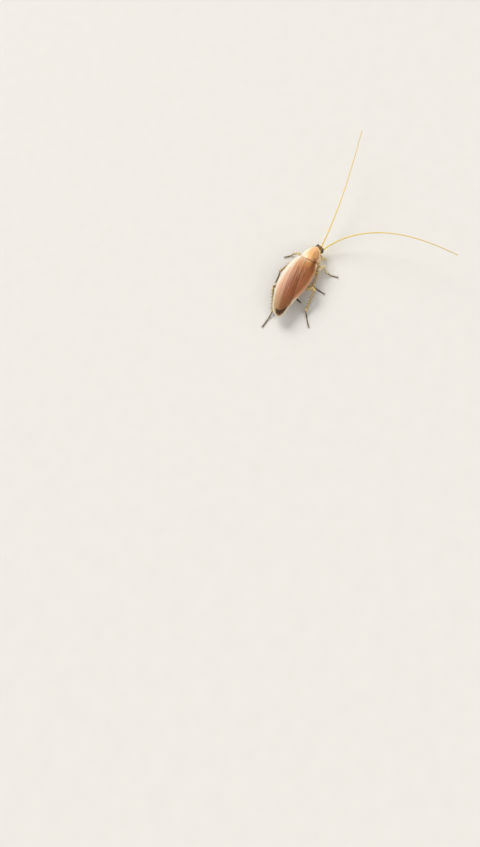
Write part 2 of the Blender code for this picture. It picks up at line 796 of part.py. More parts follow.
def make_leg(name, pose, materials, collection):
    """Coxa, femur, spined tibia and foot of one leg, with the gap between them at every joint."""
    pair = name.split("_")[0]
    root, hip, knee, ankle = (Vector(point) for point in pose[:4])
    toe = Vector((*pose[4], SOLE_CENTRE))
    down = (hip - root).normalized()
    out = (knee - hip).normalized()
    shin = (ankle - knee).normalized()
    foot = (toe - ankle).normalized()
    leg = materials["leg"]
    coxa_radii = (COXA_RADIUS, COXA_RADIUS, HIP_RADIUS)
    limb("coxa_" + name, root, hip + down * HIP_RADIUS, coxa_radii, leg, collection, steps=4)
    thigh_start = hip + out * clear_start(down, out, HIP_RADIUS + 0.06, THIGH_START_RADIUS)
    thigh_end = knee + out * KNEE_RADIUS
    thick = FEMUR_RADIUS[pair]
    thigh_radii = (THIGH_START_RADIUS, thick, thick, THIGH_END_RADIUS, KNEE_RADIUS)
    limb("femur_" + name, thigh_start, thigh_end, thigh_radii, leg, collection, steps=6)
    shin_start = knee + shin * clear_start(out, shin, KNEE_RADIUS, SHIN_START_RADIUS)
    shin_end = ankle + shin * (ANKLE_RADIUS - 0.10)
    shin_radii = (SHIN_START_RADIUS, TIBIA_RADIUS, ANKLE_RADIUS)
    tibia = limb("tibia_" + name, shin_start, shin_end, shin_radii, leg, collection, steps=5)
    foot_start = ankle + foot * clear_start(shin, foot, ANKLE_RADIUS, 0.20)
    cones = []
    for spine_root, tip in spine_roots(shin_start, shin_end, *SPINES[pair], TIBIA_RADIUS):
        if (tip - foot_start).length > 2.2 * GAP:
            cones.append(cone_between("spine", spine_root, tip, SPINE_RADIUS, leg, collection))
    fuse(tibia, cones, collection)
    make_tarsus(name, foot_start, toe, foot, materials, collection)


def make_tarsus(name, start, toe, foot, materials, collection):
    """Five joints that step down to the floor, with a pair of claws at the end."""
    points = []
    radii = []
    for a, b in zip(TARSUS_JOINTS, TARSUS_JOINTS[1:]):
        for t in (0.0, 0.35, 0.8):
            along = a + (b - a) * t
            place = start.lerp(toe, along)
            place.z = SOLE_CENTRE + (start.z - SOLE_CENTRE) * max(0.0, 1 - along / 0.5) ** 1.5
            points.append(place)
            radii.append(TARSUS_RADIUS * (TARSUS_NECK if t == 0.0 else 1.0))
    points.append(toe.copy())
    radii.append(0.6 * TARSUS_RADIUS)
    tarsus = tube("tarsus_" + name, points, radii, materials["foot"], collection)
    claws = []
    flat = Vector((foot.x, foot.y, 0)).normalized()
    for sign in (1, -1):
        side = flat.cross(Vector((0, 0, 1))) * sign
        base = toe - flat * 0.14 + side * 0.05
        tip = toe + flat * CLAW_REACH + side * CLAW_SPREAD - Vector((0, 0, 0.10))
        claws.append(cone_between("claw", base, tip, CLAW_RADIUS, materials["foot"], collection))
    tarsus = fuse(tarsus, claws, collection)
    flatten_sole(tarsus)


def centre_on_floor(collection):
    """Parents every piece to one empty that stands the origin under the middle of the model's box."""
    bpy.context.view_layer.update()
    graph = bpy.context.evaluated_depsgraph_get()
    low = Vector((math.inf,) * 3)
    high = Vector((-math.inf,) * 3)
    pieces = [obj for obj in collection.objects if obj.type == "MESH"]
    for obj in pieces:
        evaluated = obj.evaluated_get(graph)
        for vert in evaluated.data.vertices:
            place = obj.matrix_world @ vert.co
            low = Vector(map(min, low, place))
            high = Vector(map(max, high, place))
    frame = bpy.data.objects.new("cockroach_frame", None)
    collection.objects.link(frame)
    frame.location = (-(low.x + high.x) / 2, -(low.y + high.y) / 2, -low.z)
    for obj in pieces:
        obj.parent = frame


def main():
    clear_scene()
    parts = bpy.data.collections.new("cockroach")
    bpy.context.scene.collection.children.link(parts)
    materials = make_materials()
    make_wing("left", materials, parts)
    make_wing("right", materials, parts)
    make_shield(materials, parts)
    make_thorax(materials, parts)
    make_abdomen(materials, parts)
    make_cerci(materials, parts)
    make_head(materials, parts)
    make_mouth(materials, parts)
    make_feelers(materials, parts)
    for name, pose in LEGS.items():
        make_leg(name, pose, materials, parts)
    centre_on_floor(parts)


main()
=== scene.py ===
"""The looks of a small tan winged cockroach at life size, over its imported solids.

Shapes are worked out in the animal's own frame, in millimetres: x forward from the wing tips to the
head, y to its left, z up from the floor. place() moves them to the frame of the solids, in metres.
"""

import math

import bpy
import numpy as np
from mathutils import Matrix, Vector


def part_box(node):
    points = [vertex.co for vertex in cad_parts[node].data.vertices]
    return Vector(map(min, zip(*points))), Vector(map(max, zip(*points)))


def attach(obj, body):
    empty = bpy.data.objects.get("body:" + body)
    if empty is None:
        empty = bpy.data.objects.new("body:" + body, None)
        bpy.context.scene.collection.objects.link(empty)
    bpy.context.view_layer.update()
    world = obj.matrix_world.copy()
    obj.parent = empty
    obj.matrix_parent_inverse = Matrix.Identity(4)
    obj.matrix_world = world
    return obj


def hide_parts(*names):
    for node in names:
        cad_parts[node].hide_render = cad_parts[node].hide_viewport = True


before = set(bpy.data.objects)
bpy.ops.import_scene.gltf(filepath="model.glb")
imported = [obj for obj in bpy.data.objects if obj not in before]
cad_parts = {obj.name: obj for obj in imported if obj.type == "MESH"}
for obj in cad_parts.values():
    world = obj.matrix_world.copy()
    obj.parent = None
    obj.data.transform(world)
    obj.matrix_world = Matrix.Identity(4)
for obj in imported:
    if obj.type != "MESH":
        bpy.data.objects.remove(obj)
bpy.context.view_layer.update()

MM = 0.001
BODY = "root"
SIDES = {"left": 1, "right": -1}
FORWARD = (1.0, 0.0, 0.0)
UP = (0.0, 0.0, 1.0)

# The animal's frame from the box of the abdomen, whose middle is known in both
ABDOMEN_MIDDLE = (0.060, 0.10)
abdomen_low, abdomen_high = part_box("abdomen")
SHIFT = np.array([(abdomen_low[k] + abdomen_high[k]) / 2 - ABDOMEN_MIDDLE[k] * MM for k in (0, 1)] + [0.0])

# Closed wings: half width and middle line by station, and the arch of their backs
WING_FRONT = 5.34
WING_TIPS = {"left": -5.95, "right": -5.81}
WING_GRIDS = {"left": (300, 130), "right": (280, 110)}
WING_HALF_WIDTHS = (
    (-5.95, 0.04), (-5.91, 0.27), (-5.78, 0.56), (-5.50, 0.83), (-4.90, 1.13), (-3.90, 1.42),
    (-2.90, 1.70), (-1.70, 2.00), (-0.40, 2.28), (1.00, 2.40), (2.80, 2.30), (4.20, 2.02),
    (4.75, 1.84), (5.10, 1.60), (5.34, 1.15),
)
WING_MIDDLES = ((-5.95, -0.35), (-4.90, -0.05), (-3.40, 0.18), (-1.50, 0.26), (1.50, 0.18), (5.34, 0.10))
BACK_TOP = 3.10
BACK_TOP_X = 1.6
BACK_FALL = 0.0165
ARCH_POWER = 2.3
TIP_FALL = 0.46
SEAM_START = (4.92, 0.25)
SEAM_SLOPE = 0.170
WING_SKIN = 0.055
HIND_WING_DROP = 0.24
ROOF_DROP = 0.62

# Shares of a wing from its outer edge to the seam where the main veins run
VEINS = (2 / 15, 5 / 15, 8 / 15, 11 / 15, 13 / 15)

# Dark patches of the wings as chains of discs: x, y and radius. The crescent by the tips is painted shadow:
# the shade below the tips, seen through the clear skin.
CRESCENT = (
    (-5.18, 0.20, 0.13), (-5.40, -0.08, 0.25), (-5.40, -0.40, 0.29), (-5.16, -0.66, 0.24),
    (-4.80, -0.82, 0.17), (-4.36, -0.92, 0.10), (-4.00, -0.96, 0.02),
)
# The mark at the right shoulder and the streaks behind it are partly the wing's own dark and partly painted
# shade, on the side away from the light
RIGHT_SHOULDER = ((5.00, -0.92, 0.22), (4.76, -1.26, 0.25), (4.05, -1.26, 0.13))
STREAKS = (
    ((3.76, -1.26, 0.16), (3.12, -1.24, 0.09)),
    ((4.20, -1.50, 0.16), (3.55, -1.64, 0.16), (2.50, -1.78, 0.07)),
    ((3.30, -0.86, 0.05), (1.20, -1.02, 0.03)),
)

# Shield over the front of the thorax
SHIELD_CENTRE = (6.19, -0.15)
SHIELD_LENGTH = 3.04
SHIELD_WIDTH = 2.74
SHIELD_TAPER = 0.49
SHIELD_CORNERS = 0.90
SHIELD_YAW = -1.9
SHIELD_TOP = 2.92
SHIELD_NOD = 0.35
SHIELD_NOD_CURVE = 0.27
SHIELD_ARCH = 0.75

# Thorax: where its rings meet, half width and lowest level by station, and the pitch of the neck's folds
THORAX_RINGS = (7.22, 5.30, 3.15, 1.64)
THORAX_WIDTHS = ((1.5, 1.64), (3.1, 1.60), (4.9, 1.36), (6.2, 1.02), (6.9, 0.80), (7.25, 0.60), (7.72, 0.46))
THORAX_LOWS = ((1.5, 1.22), (5.0, 1.24), (7.1, 1.28), (7.72, 1.22))
NECK_FOLD = 0.17
TRUNK_SIDES = 64

# Abdomen: its ends, its rings and its half width by share of its length
ABDOMEN_FRONT, ABDOMEN_REAR = 1.78, -1.40
ABDOMEN_RINGS = 7
ABDOMEN_HALF_WIDTHS = ((0, 1.44), (0.25, 1.56), (0.5, 1.54), (0.75, 1.26), (0.92, 0.84), (1.0, 0.42))
STYLE_Y = 0.17

# Courses of the cerci, from within the abdomen to their tips
CERCUS_COURSES = {
    "left": ((-1.05, 0.52, 1.26), (-1.62, 0.72, 1.24), (-2.75, 1.05, 1.20)),
    "right": ((-1.05, -0.52, 1.24), (-1.42, -1.04, 1.20), (-1.88, -2.40, 1.04)),
}

# Head: share from crown to lip, half width, half depth and level of its sections, in its own frame,
# its place and turn in the animal's, and in its own again the sockets of the feelers and the mouth
HEAD_SECTIONS = (
    (0.00, 0.00, 0.00, 0.60), (0.08, 0.38, 0.25, 0.55), (0.22, 0.67, 0.42, 0.42),
    (0.38, 0.82, 0.50, 0.20), (0.55, 0.78, 0.50, -0.10), (0.72, 0.60, 0.44, -0.44),
    (0.86, 0.42, 0.34, -0.72), (0.95, 0.28, 0.22, -0.88), (1.00, 0.00, 0.00, -0.94),
)
HEAD_CENTRE = (8.10, -0.42, 1.26)
HEAD_YAW = -22.0
HEAD_PITCH = 22.0
SOCKET = (0.80, 0.35, 0.18)
LEFT_JAW = ((0.02, 0.42, -0.55), (0.06, 0.38, -0.80), (0.08, 0.20, -1.00), (0.10, 0.03, -1.04))
LEFT_CHEEK = ((-0.10, 0.30, -0.50), (-0.14, 0.26, -0.85), (-0.10, 0.16, -1.12))
LEFT_INNER_PALP = ((-0.16, 0.14, -0.95), (-0.12, 0.26, -1.08), (-0.02, 0.34, -1.16), (0.12, 0.33, -1.24))
LEFT_PALP = (
    (-0.06, 0.36, -0.80), (-0.16, 0.62, -0.66), (-0.14, 0.94, -0.45),
    (-0.26, 1.28, -0.76), (0.10, 1.54, -0.66), (0.48, 1.66, -0.93),
)
PALP_WIDTHS = (0.09, 0.10, 0.105, 0.11, 0.125)

# Feelers: yaw and pitch at the root, how far each turns up to the tip, and where the base joints end
FEELER_LENGTH = 21.62
FEELER_STEPS = 42
FEELER_COURSES = {"left": (0.0, 20.0, 13.5, -20.0), "right": (-33.0, 20.0, -62.0, -20.0)}
FEELER_JOINTS = (0.0, 0.75, 1.02)
FEELER_WIDTHS = (0.185, 0.150)

# Pose of each leg: where it leaves the thorax, hip, knee and ankle, and the tip of the foot on the floor
LEGS = {
    "front_left": ((6.70, 0.88, 0.83), (5.25, 1.22, 0.56), (5.95, 2.25, 1.45), (6.20, 3.10, 0.45)),
    "front_right": ((6.58, -1.10, 0.83), (4.88, -1.60, 0.56), (5.51, -2.49, 1.50), (5.19, -3.36, 0.45)),
    "middle_left": ((4.45, 0.90, 0.83), (3.50, 1.20, 0.56), (3.78, 2.52, 1.32), (2.26, 3.58, 0.45)),
    "middle_right": ((4.50, -0.90, 0.83), (3.40, -1.15, 0.56), (4.35, -2.10, 1.10), (2.13, -2.33, 0.46)),
    "hind_left": ((2.40, 0.90, 0.83), (1.15, 1.20, 0.56), (-1.35, 2.88, 1.32), (-4.99, 1.10, 0.45)),
    "hind_right": ((2.40, -0.90, 0.83), (0.90, -1.12, 0.52), (1.10, -3.25, 1.78), (-2.52, -3.48, 0.48)),
}
TOES = {
    "front_left": (5.20, 4.19), "middle_left": (0.40, 3.37), "hind_left": (-7.69, 1.33),
    "front_right": (5.46, -4.96), "middle_right": (1.81, -4.44), "hind_right": (-4.52, -5.02),
}

# For each pair of legs: depth of the femur, radius of the tibia, number and length of its spines
LEG_SIZES = {
    "front": (0.40, 0.15, 10, 0.34),
    "middle": (0.32, 0.14, 16, 0.50),
    "hind": (0.43, 0.16, 24, 0.72),
}
FEMUR_DEPTHS = ((0, 0.55), (0.15, 0.86), (0.38, 1.0), (0.7, 0.82), (0.9, 0.66), (1, 0.60))
TIBIA_WIDTHS = ((0, 0.95), (0.08, 1.05), (0.2, 0.84), (0.6, 0.88), (0.92, 1.10), (1, 1.05))
SPINE_ROWS = (40, 150, 215, -30)
SPUR_ROWS = (20, 90, 160, 215, 325)

# Foot: shares where its joints meet, their widths, the swell of each, and a claw as ahead, aside and up
FOOT_SHARES = (0.0, 0.42, 0.60, 0.73, 0.83, 1.0)
FOOT_WIDTHS = (0.095, 0.088, 0.088, 0.088, 0.075)
FOOT_SWELL = ((0, 0.62), (0.3, 0.85), (0.85, 1.08), (1, 0.9))
FOOT_LEVEL = 0.105
CLAW = ((-0.05, 0.0, 0.0), (0.12, 0.09, 0.02), (0.26, 0.17, -0.04), (0.30, 0.19, -0.115))

# Wing colours from the pale outer field to the seam, where the skin is light and where it is dark. The
# palest stop, near white, is partly the pale field's own colour and partly painted sheen.
WING_STOPS = (0.0, 0.45, 1.0)
WING_LIGHT = ((0.92, 0.82, 0.70), (0.61, 0.300, 0.145), (0.34, 0.108, 0.033))
WING_DARK = ((0.85, 0.71, 0.57), (0.51, 0.230, 0.100), (0.26, 0.073, 0.020))

# How far light goes into the skins
SKIN_DEPTH = {"Subsurface Weight": 0.10, "Subsurface Scale": 0.0003}

# Horny skins: dark, middle and pale colour, roughness, coat, pits, and how clear thin parts are
SHELLS = {
    "shield": ((0.16, 0.035, 0.006), (0.88, 0.38, 0.06), (0.97, 0.87, 0.70), 0.24, 0.20, 0.3, 0.14),
    "thorax": ((0.24, 0.085, 0.03), (0.74, 0.40, 0.12), (0.97, 0.72, 0.34), 0.36, 0.15),
    "belly": ((0.13, 0.050, 0.02), (0.42, 0.22, 0.09), (0.68, 0.48, 0.26), 0.36, 0.18),
    "face": ((0.095, 0.024, 0.004), (0.78, 0.52, 0.13), (0.93, 0.80, 0.40), 0.34, 0.1),
    "leg": ((0.085, 0.045, 0.012), (0.60, 0.36, 0.055), (0.98, 0.88, 0.54), 0.34, 0.15),
    "foot": ((0.085, 0.056, 0.014), (0.38, 0.24, 0.07), (0.72, 0.60, 0.34), 0.42, 0.1),
    "feeler": ((0.34, 0.20, 0.04), (0.80, 0.57, 0.13), (0.95, 0.82, 0.34), 0.42, 0.08),
    "cercus": ((0.030, 0.020, 0.008), (0.14, 0.085, 0.03), (0.45, 0.32, 0.15), 0.42, 0.1),
}

# Lights: offset from the animal in metres, breadth in degrees, strength and colour
LIGHTS = {
    "sky": ((0.080, 0.150, 0.140), 38, 2.58, (1.0, 0.975, 0.93)),
    "fill": ((-0.06, -0.19, 0.13), 46, 0.88, (1.0, 0.97, 0.92)),
    "rear": ((-0.20, 0.10, 0.10), 32, 0.37, (0.95, 0.98, 1.0)),
}
LIT_POINT = (1.0, 0.0, 1.5)
ROOM_COLOUR = (1.0, 0.97, 0.92, 1.0)
ROOM_STRENGTH = 0.43
FLOOR_HALF = 0.6

# Camera: the line of sight to the animal, and where it lies in the photo's frame of 480 by 847
FRAME_WIDTH, FRAME_HEIGHT = 480, 847
LENS = 26.0
SENSOR = 36.0
SIGHT_TURN = 27.9
SIGHT_HEIGHT = 57.0
SIGHT_DISTANCE = 98.5
SIGHT_POINT = (0.0, 0.0, 2.0)
SIGHT_PIXEL = (293.4, 284.9)


# Shapes


def unit(vectors):
    return vectors / np.linalg.norm(vectors, axis=-1, keepdims=True)


def xyz(x, y, z):
    return np.stack(np.broadcast_arrays(x, y, z), -1)


def turns(count):
    """Angles evenly round a circle, the first one 0."""
    return np.linspace(0, 2 * np.pi, count, endpoint=False)


def circle(count):
    """Cosines and sines of those angles."""
    return np.cos(turns(count)), np.sin(turns(count))


def grid(rows, columns, low=0.0):
    """Shares u of the rows from 0 to 1 as a column, and v of the columns from low to 1 as a row."""
    return np.linspace(0, 1, rows)[:, None], np.linspace(low, 1, columns)[None]


def held(x):
    """x, kept between 0 and 1."""
    return np.clip(x, 0.0, 1.0)


def fade(low, high, x):
    """A smooth change from 0 where x is low to 1 where it is high: 3 t^2 - 2 t^3."""
    t = held((x - low) / (high - low))
    return t * t * (3 - 2 * t)


def bell(x, middle, width):
    """exp(-((x - middle) / width)^2)"""
    return np.exp(-(((x - middle) / width) ** 2))


def signed_power(x, power):
    return np.sign(x) * np.abs(x) ** power


def crests(phase, power):
    """Narrow crests at whole numbers: the upper half of cos(2 pi phase), raised to a power."""
    return held(np.cos(2 * np.pi * phase)) ** power


def curve(stations, x):
    """A smooth curve through (position, value) stations in rising order: cubic between each two."""
    xs, ys = np.array(stations, float).T
    slopes = np.gradient(ys, xs)
    x = np.clip(x, xs[0], xs[-1])
    i = np.clip(np.searchsorted(xs, x) - 1, 0, len(xs) - 2)
    step = xs[i + 1] - xs[i]
    t = (x - xs[i]) / step
    rising = (1 + 2 * t) * (1 - t) ** 2 * ys[i] + t * (1 - t) ** 2 * step * slopes[i]
    return rising + t**2 * (3 - 2 * t) * ys[i + 1] + t**2 * (t - 1) * step * slopes[i + 1]


def blotch(x, y, spots, soft):
    """1 inside a chain of (x, y, radius) discs joined by tapered lengths, 0 outside, soft at its edge."""
    far = 9.0
    nearest = np.full(np.broadcast(x, y).shape, far)
    for (ax, ay, wide), (bx, by, narrow) in zip(spots, spots[1:]):
        dx, dy = bx - ax, by - ay
        t = held(((x - ax) * dx + (y - ay) * dy) / (dx * dx + dy * dy))
        gap = np.hypot(x - ax - t * dx, y - ay - t * dy) - (wide + t * (narrow - wide))
        nearest = np.minimum(nearest, gap)
    return fade(soft, -soft, nearest)


def scatter(index, seed):
    """A fixed value between 0 and 1 for each whole number: the fractional part of a large sine."""
    return np.modf(np.abs(np.sin(index * 12.9898 + seed * 78.233)) * 43758.5453)[0]


def turned(x, y, degrees):
    """Two coordinates turned about the third."""
    angle = math.radians(degrees)
    return x * math.cos(angle) - y * math.sin(angle), x * math.sin(angle) + y * math.cos(angle)


def place(points):
    return np.asarray(points, float) * MM + SHIFT


def marked(*values):
    """Up to four marks of each point, given as arrays or numbers. Those left out are 0."""
    return np.stack(np.broadcast_arrays(*values, *[0.0] * (4 - len(values))), -1)


def squares(*corners):
    """Faces as rows of four point numbers, from four arrays of one shape."""
    return np.stack(np.broadcast_arrays(*corners), -1).reshape(-1, 4)


def side_and_up(along, above=UP):
    """The two directions across a limb that runs along, the second one on the side of above."""
    side = unit(np.cross(along, above))
    return side, np.cross(side, along)


def spokes(angles, side, up):
    """Directions at the given angles from side towards up."""
    return np.cos(angles)[:, None] * side + np.sin(angles)[:, None] * up


def at_shares(path, places, shares):
    """Rows of a path, which has one at each of the places, at other shares of it."""
    return np.stack([np.interp(shares, places, path[:, k]) for k in range(3)], 1)


def above_for(start, end, steep=0.8):
    """A helper direction that isn't along the limb."""
    return FORWARD if abs(unit(end - start)[2]) > steep else UP


def over_floor(points):
    """The same points, raised to 0.03 over the floor where they are lower."""
    return np.maximum(points, (-np.inf, -np.inf, 0.03))


class Pile:
    """Closed surfaces gathered into one mesh, each with four marks a point that its material reads."""

    def __init__(self):
        self.points, self.faces, self.marks, self.total = [], [], [], 0

    def add(self, points, faces, marks):
        """Takes faces of four point numbers, the first repeated in a triangle, and turns them outwards."""
        a, b, c, d = np.moveaxis(points[faces] - points.mean(0), 1, 0)
        volume = (a * (np.cross(b, c) + np.cross(c, d))).sum()
        self.points.append(points)
        self.faces.append((faces if volume > 0 else faces[:, ::-1]) + self.total)
        self.marks.append(np.broadcast_to(marks, (len(points), 4)))
        self.total += len(points)

    def tube(self, rings, marks=(0, 0, 0, 0)):
        """Rings of equal counts joined in order; the first and last draw together in their middles."""
        count, sides = rings.shape[:2]
        marks = np.broadcast_to(np.asarray(marks, float), (count, sides, 4))
        inner = rings[1:-1].reshape(-1, 3)
        points = np.vstack([inner, rings[0].mean(0), rings[-1].mean(0)])
        painted = np.vstack([marks[1:-1].reshape(-1, 4), marks[0].mean(0), marks[-1].mean(0)])
        ids = np.arange(len(inner)).reshape(count - 2, sides)
        beside = np.roll(ids, -1, 1)
        first, last = len(inner), len(inner) + 1
        wall = squares(ids[:-1], beside[:-1], beside[1:], ids[1:])
        start_fan = squares(first, beside[0], ids[0], first)
        end_fan = squares(last, ids[-1], beside[-1], last)
        self.add(points, np.vstack([wall, start_fan, end_fan]), painted)

    def limb(self, path, wide, sides, marks, deep=None, above=UP):
        """A tube of ovals round a path: path + wide * cos(a) * side + deep * sin(a) * up."""
        side, up = side_and_up(unit(np.gradient(path, axis=0)), above)
        c, s = circle(sides)
        across = (wide[:, None] * c)[..., None] * side[:, None]
        rise = ((wide if deep is None else deep)[:, None] * s)[..., None] * up[:, None]
        self.tube(path[:, None] + across + rise, marks)

    def loop(self, rings, marks):
        """Rings of equal counts joined in order, the last one to the first."""
        ids = np.arange(rings[..., 0].size).reshape(rings.shape[:2])
        beside, after = np.roll(ids, -1, 1), np.roll(ids, -1, 0)
        self.add(rings.reshape(-1, 3), squares(ids, beside, np.roll(beside, -1, 0), after), marks)

    def plate(self, top, bottom, marks):
        """A closed plate between two grids of one shape, walled along all four edges."""
        rows, columns = top.shape[:2]
        points = np.vstack([top.reshape(-1, 3), bottom.reshape(-1, 3)])
        marks = np.broadcast_to(marks, (rows, columns, 4)).reshape(-1, 4)
        ids = np.arange(rows * columns).reshape(rows, columns)
        under = ids + ids.size
        faces = [
            squares(ids[:-1, :-1], ids[:-1, 1:], ids[1:, 1:], ids[1:, :-1]),
            squares(under[:-1, :-1], under[1:, :-1], under[1:, 1:], under[:-1, 1:]),
        ]
        for quarter in range(4):
            edge, low = np.rot90(ids, quarter)[0], np.rot90(under, quarter)[0]
            faces.append(squares(edge[1:], edge[:-1], low[:-1], low[1:]))
        self.add(points, np.vstack(faces), np.vstack([marks, marks]))

    def spikes(self, roots, tips, radius, sides, bend, dark):
        """Tapered spikes: the radius falls as (1 - t)^0.7, and the middle bends up by bend * length."""
        axis = unit(tips - roots)
        helper = np.where(np.abs(axis[:, 2:3]) > 0.9, [FORWARD], [UP])
        side, above = side_and_up(axis, helper)
        length = np.linalg.norm(tips - roots, axis=1)
        steps = np.array([0.0, 0.0, 0.3, 0.65, 1.0])
        widths = np.array([0.0, 1.0, 0.78, 0.48, 0.0])
        for k in range(len(roots)):
            centre = roots[k] + (tips[k] - roots[k]) * steps[:, None]
            centre = centre + above[k] * (bend * length[k] * np.sin(np.pi * steps))[:, None]
            ring = spokes(turns(sides), side[k], above[k])
            self.tube(centre[:, None] + ring[None] * (radius * widths)[:, None, None], (dark, 0, 0, 0))

    def hairs(self, path, radii, rows, per_ring, length, radius, lean, seed, dark=0.6, above=UP):
        """Short hairs on a limb: rings of them with scattered places, each leaning towards the tip."""
        index = np.arange(rows * per_ring)
        share = np.repeat(np.linspace(0.04, 0.97, rows), per_ring)
        share = np.clip(share + (scatter(index, seed) - 0.5) / rows, 0.02, 0.985)
        places = np.linspace(0, 1, len(path))
        along = unit(at_shares(np.gradient(path, axis=0), places, share))
        turn = 2 * np.pi * (index % per_ring) / per_ring + 1.7 * scatter(index, seed + 3)
        out = spokes(turn, *side_and_up(along, above))
        thick = np.interp(share, places, radii)
        root = at_shares(path, places, share) + out * (thick * 0.8)[:, None]
        reach = length * (0.7 + 0.6 * scatter(index, seed + 5))
        tip = root + unit(out + along * lean) * reach[:, None]
        off_floor = tip[:, 2] > 0.02
        self.spikes(root[off_floor], tip[off_floor], radius, 3, 0.05, dark)

    def piece(self, name, material, slot, *nodes):
        """Makes the mesh, with marks as a colour attribute, hangs it on the body and hides the imported
        parts it stands for.
        """
        points = place(np.vstack(self.points))
        faces = np.vstack(self.faces)
        kept = np.ones_like(faces, bool)
        kept[:, 3] = faces[:, 0] != faces[:, 3]
        starts = np.r_[0, np.cumsum(kept.sum(1))[:-1]]
        mesh = bpy.data.meshes.new(name)
        mesh.vertices.add(len(points))
        mesh.vertices.foreach_set("co", points.astype(np.float32).ravel())
        mesh.loops.add(int(kept.sum()))
        mesh.loops.foreach_set("vertex_index", faces[kept].astype(np.int32))
        mesh.polygons.add(len(faces))
        mesh.polygons.foreach_set("loop_start", starts.astype(np.int32))
        mesh.update(calc_edges=True)
        mesh.validate()
        attribute = mesh.attributes.new("marks", "FLOAT_COLOR", "POINT")
        attribute.data.foreach_set("color", np.vstack(self.marks).astype(np.float32).ravel())
        mesh.shade_smooth()
        mesh.materials.append(material)
        made = bpy.data.objects.new(name, mesh)
        bpy.context.scene.collection.objects.link(made)
        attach(made, BODY)
        if nodes:
            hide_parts(*nodes)


def run_lengths(path):
    """Length of a path from its start up to each of its points."""
    return np.r_[0, np.cumsum(np.linalg.norm(np.diff(path, axis=0), axis=1))]


def course(points, t):
    """Points at the parts t of a smooth line through the given points, by the length between them."""
    points = np.asarray(points, float)
    lengths = run_lengths(points)
    lengths /= lengths[-1]
    return np.stack([curve(np.stack([lengths, points[:, k]], 1), t) for k in range(3)], 1)


def eased(count, ends):
    """Steps from 0 to 1 that lie closer together at both ends, for round caps."""
    t = np.linspace(0, 1, count)
    return (1 - ends) * t + ends * (0.5 - 0.5 * np.cos(np.pi * t))


def round_ends(t, start, end):
    """1 along the middle, falling as a quarter circle over the first and last stretch."""
    rising = np.sqrt(1 - (1 - held(t / start)) ** 2) if start else 1.0
    return rising * np.sqrt(1 - (1 - held((1 - t) / end)) ** 2)


# Materials


class Wire:
    """A socket of a material. Arithmetic on it adds Math nodes, and node() adds any other kind."""

    def __init__(self, tree, socket=None):
        self.tree, self.socket = tree, socket

    def node(self, kind, settings=None, values=None, output=0):
        made = self.tree.nodes.new(kind)
        for name, value in (settings or {}).items():
            if name == "stops":
                ramp = made.color_ramp.elements
                while len(ramp) < len(value):
                    ramp.new(0.5)
                for element, (at, colour) in zip(ramp, value):
                    element.position = at
                    element.color = colour
            else:
                setattr(made, name, value)
        for key, value in (values or {}).items():
            if isinstance(value, Wire):
                self.tree.links.new(value.socket, made.inputs[key])
            else:
                made.inputs[key].default_value = value
        return Wire(self.tree, made.outputs[output])

    def maths(self, operation, one, two=0.0, clamp=False):
        return self.node("ShaderNodeMath", {"operation": operation, "use_clamp": clamp}, {0: one, 1: two})

    def __add__(self, other):
        return self.maths("ADD", self, other)

    __radd__ = __add__

    def __sub__(self, other):
        return self.maths("SUBTRACT", self, other)

    def __rsub__(self, other):
        return self.maths("SUBTRACT", other, self)

    def __mul__(self, other):
        return self.maths("MULTIPLY", self, other)

    __rmul__ = __mul__

    def __truediv__(self, other):
        return self.maths("DIVIDE", self, other)

    def __rtruediv__(self, other):
        return self.maths("DIVIDE", other, self)

    def clamped(self):
        return self.maths("ADD", self, 0.0, True)

    def mix(self, low, high):
        """The colour low where this is 0 and high where it is 1."""
        return self.node("ShaderNodeMix", {"data_type": "RGBA"}, {0: self, 6: low, 7: high}, 2)

    def tinted(self, colour, factor):
        """This colour multiplied by another, by factor."""
        settings = {"data_type": "RGBA", "blend_type": "MULTIPLY"}
        return self.node("ShaderNodeMix", settings, {0: factor, 6: self, 7: colour}, 2)


def rgb(red, green, blue):
    return (red, green, blue, 1.0)


class Finish:
    """A material with its marks, noises and shader at hand."""

    def __init__(self, name, constants):
        self.material = bpy.data.materials.new(name)
        self.material.use_nodes = True
        self.tree = self.material.node_tree
        self.shader = self.tree.nodes["Principled BSDF"]
        for key, value in constants.items():
            self.shader.inputs[key].default_value = value
        self.node = Wire(self.tree).node
        self.spot = self.node("ShaderNodeTexCoord", output=3)
        marks = self.node("ShaderNodeAttribute", {"attribute_name": "marks"})
        parted = self.node("ShaderNodeSeparateColor", values={0: marks})
        self.marks = [Wire(self.tree, parted.socket.node.outputs[k]) for k in range(3)]
        self.marks.append(Wire(self.tree, marks.socket.node.outputs[3]))

    def noise(self, scale, detail, rough=0.55, stretch=(1, 1, 1)):
        """Noise over the surface, scale waves to a metre, as a value from 0 to 1."""
        spot = self.node("ShaderNodeVectorMath", {"operation": "MULTIPLY"}, {0: self.spot, 1: stretch})
        values = {"Vector": spot, "Scale": scale, "Detail": detail, "Roughness": rough}
        return self.node("ShaderNodeTexNoise", values=values)

    def cells(self, scale):
        """Distance to the nearest of scattered points, scale of them to a metre."""
        return self.node("ShaderNodeTexVoronoi", values={"Vector": self.spot, "Scale": scale})

    def ramp(self, factor, stops, colours):
        settings = {"stops": [(at, rgb(*colour)) for at, colour in zip(stops, colours)]}
        return self.node("ShaderNodeValToRGB", settings, {0: factor})

    def bump(self, height, distance, strength):
        values = {"Height": height, "Distance": distance, "Strength": strength}
        return self.node("ShaderNodeBump", values=values)

    def use(self, **sockets):
        for name, wire in sockets.items():
            self.tree.links.new(wire.socket, self.shader.inputs[name.replace("_", " ")])
        return self.material


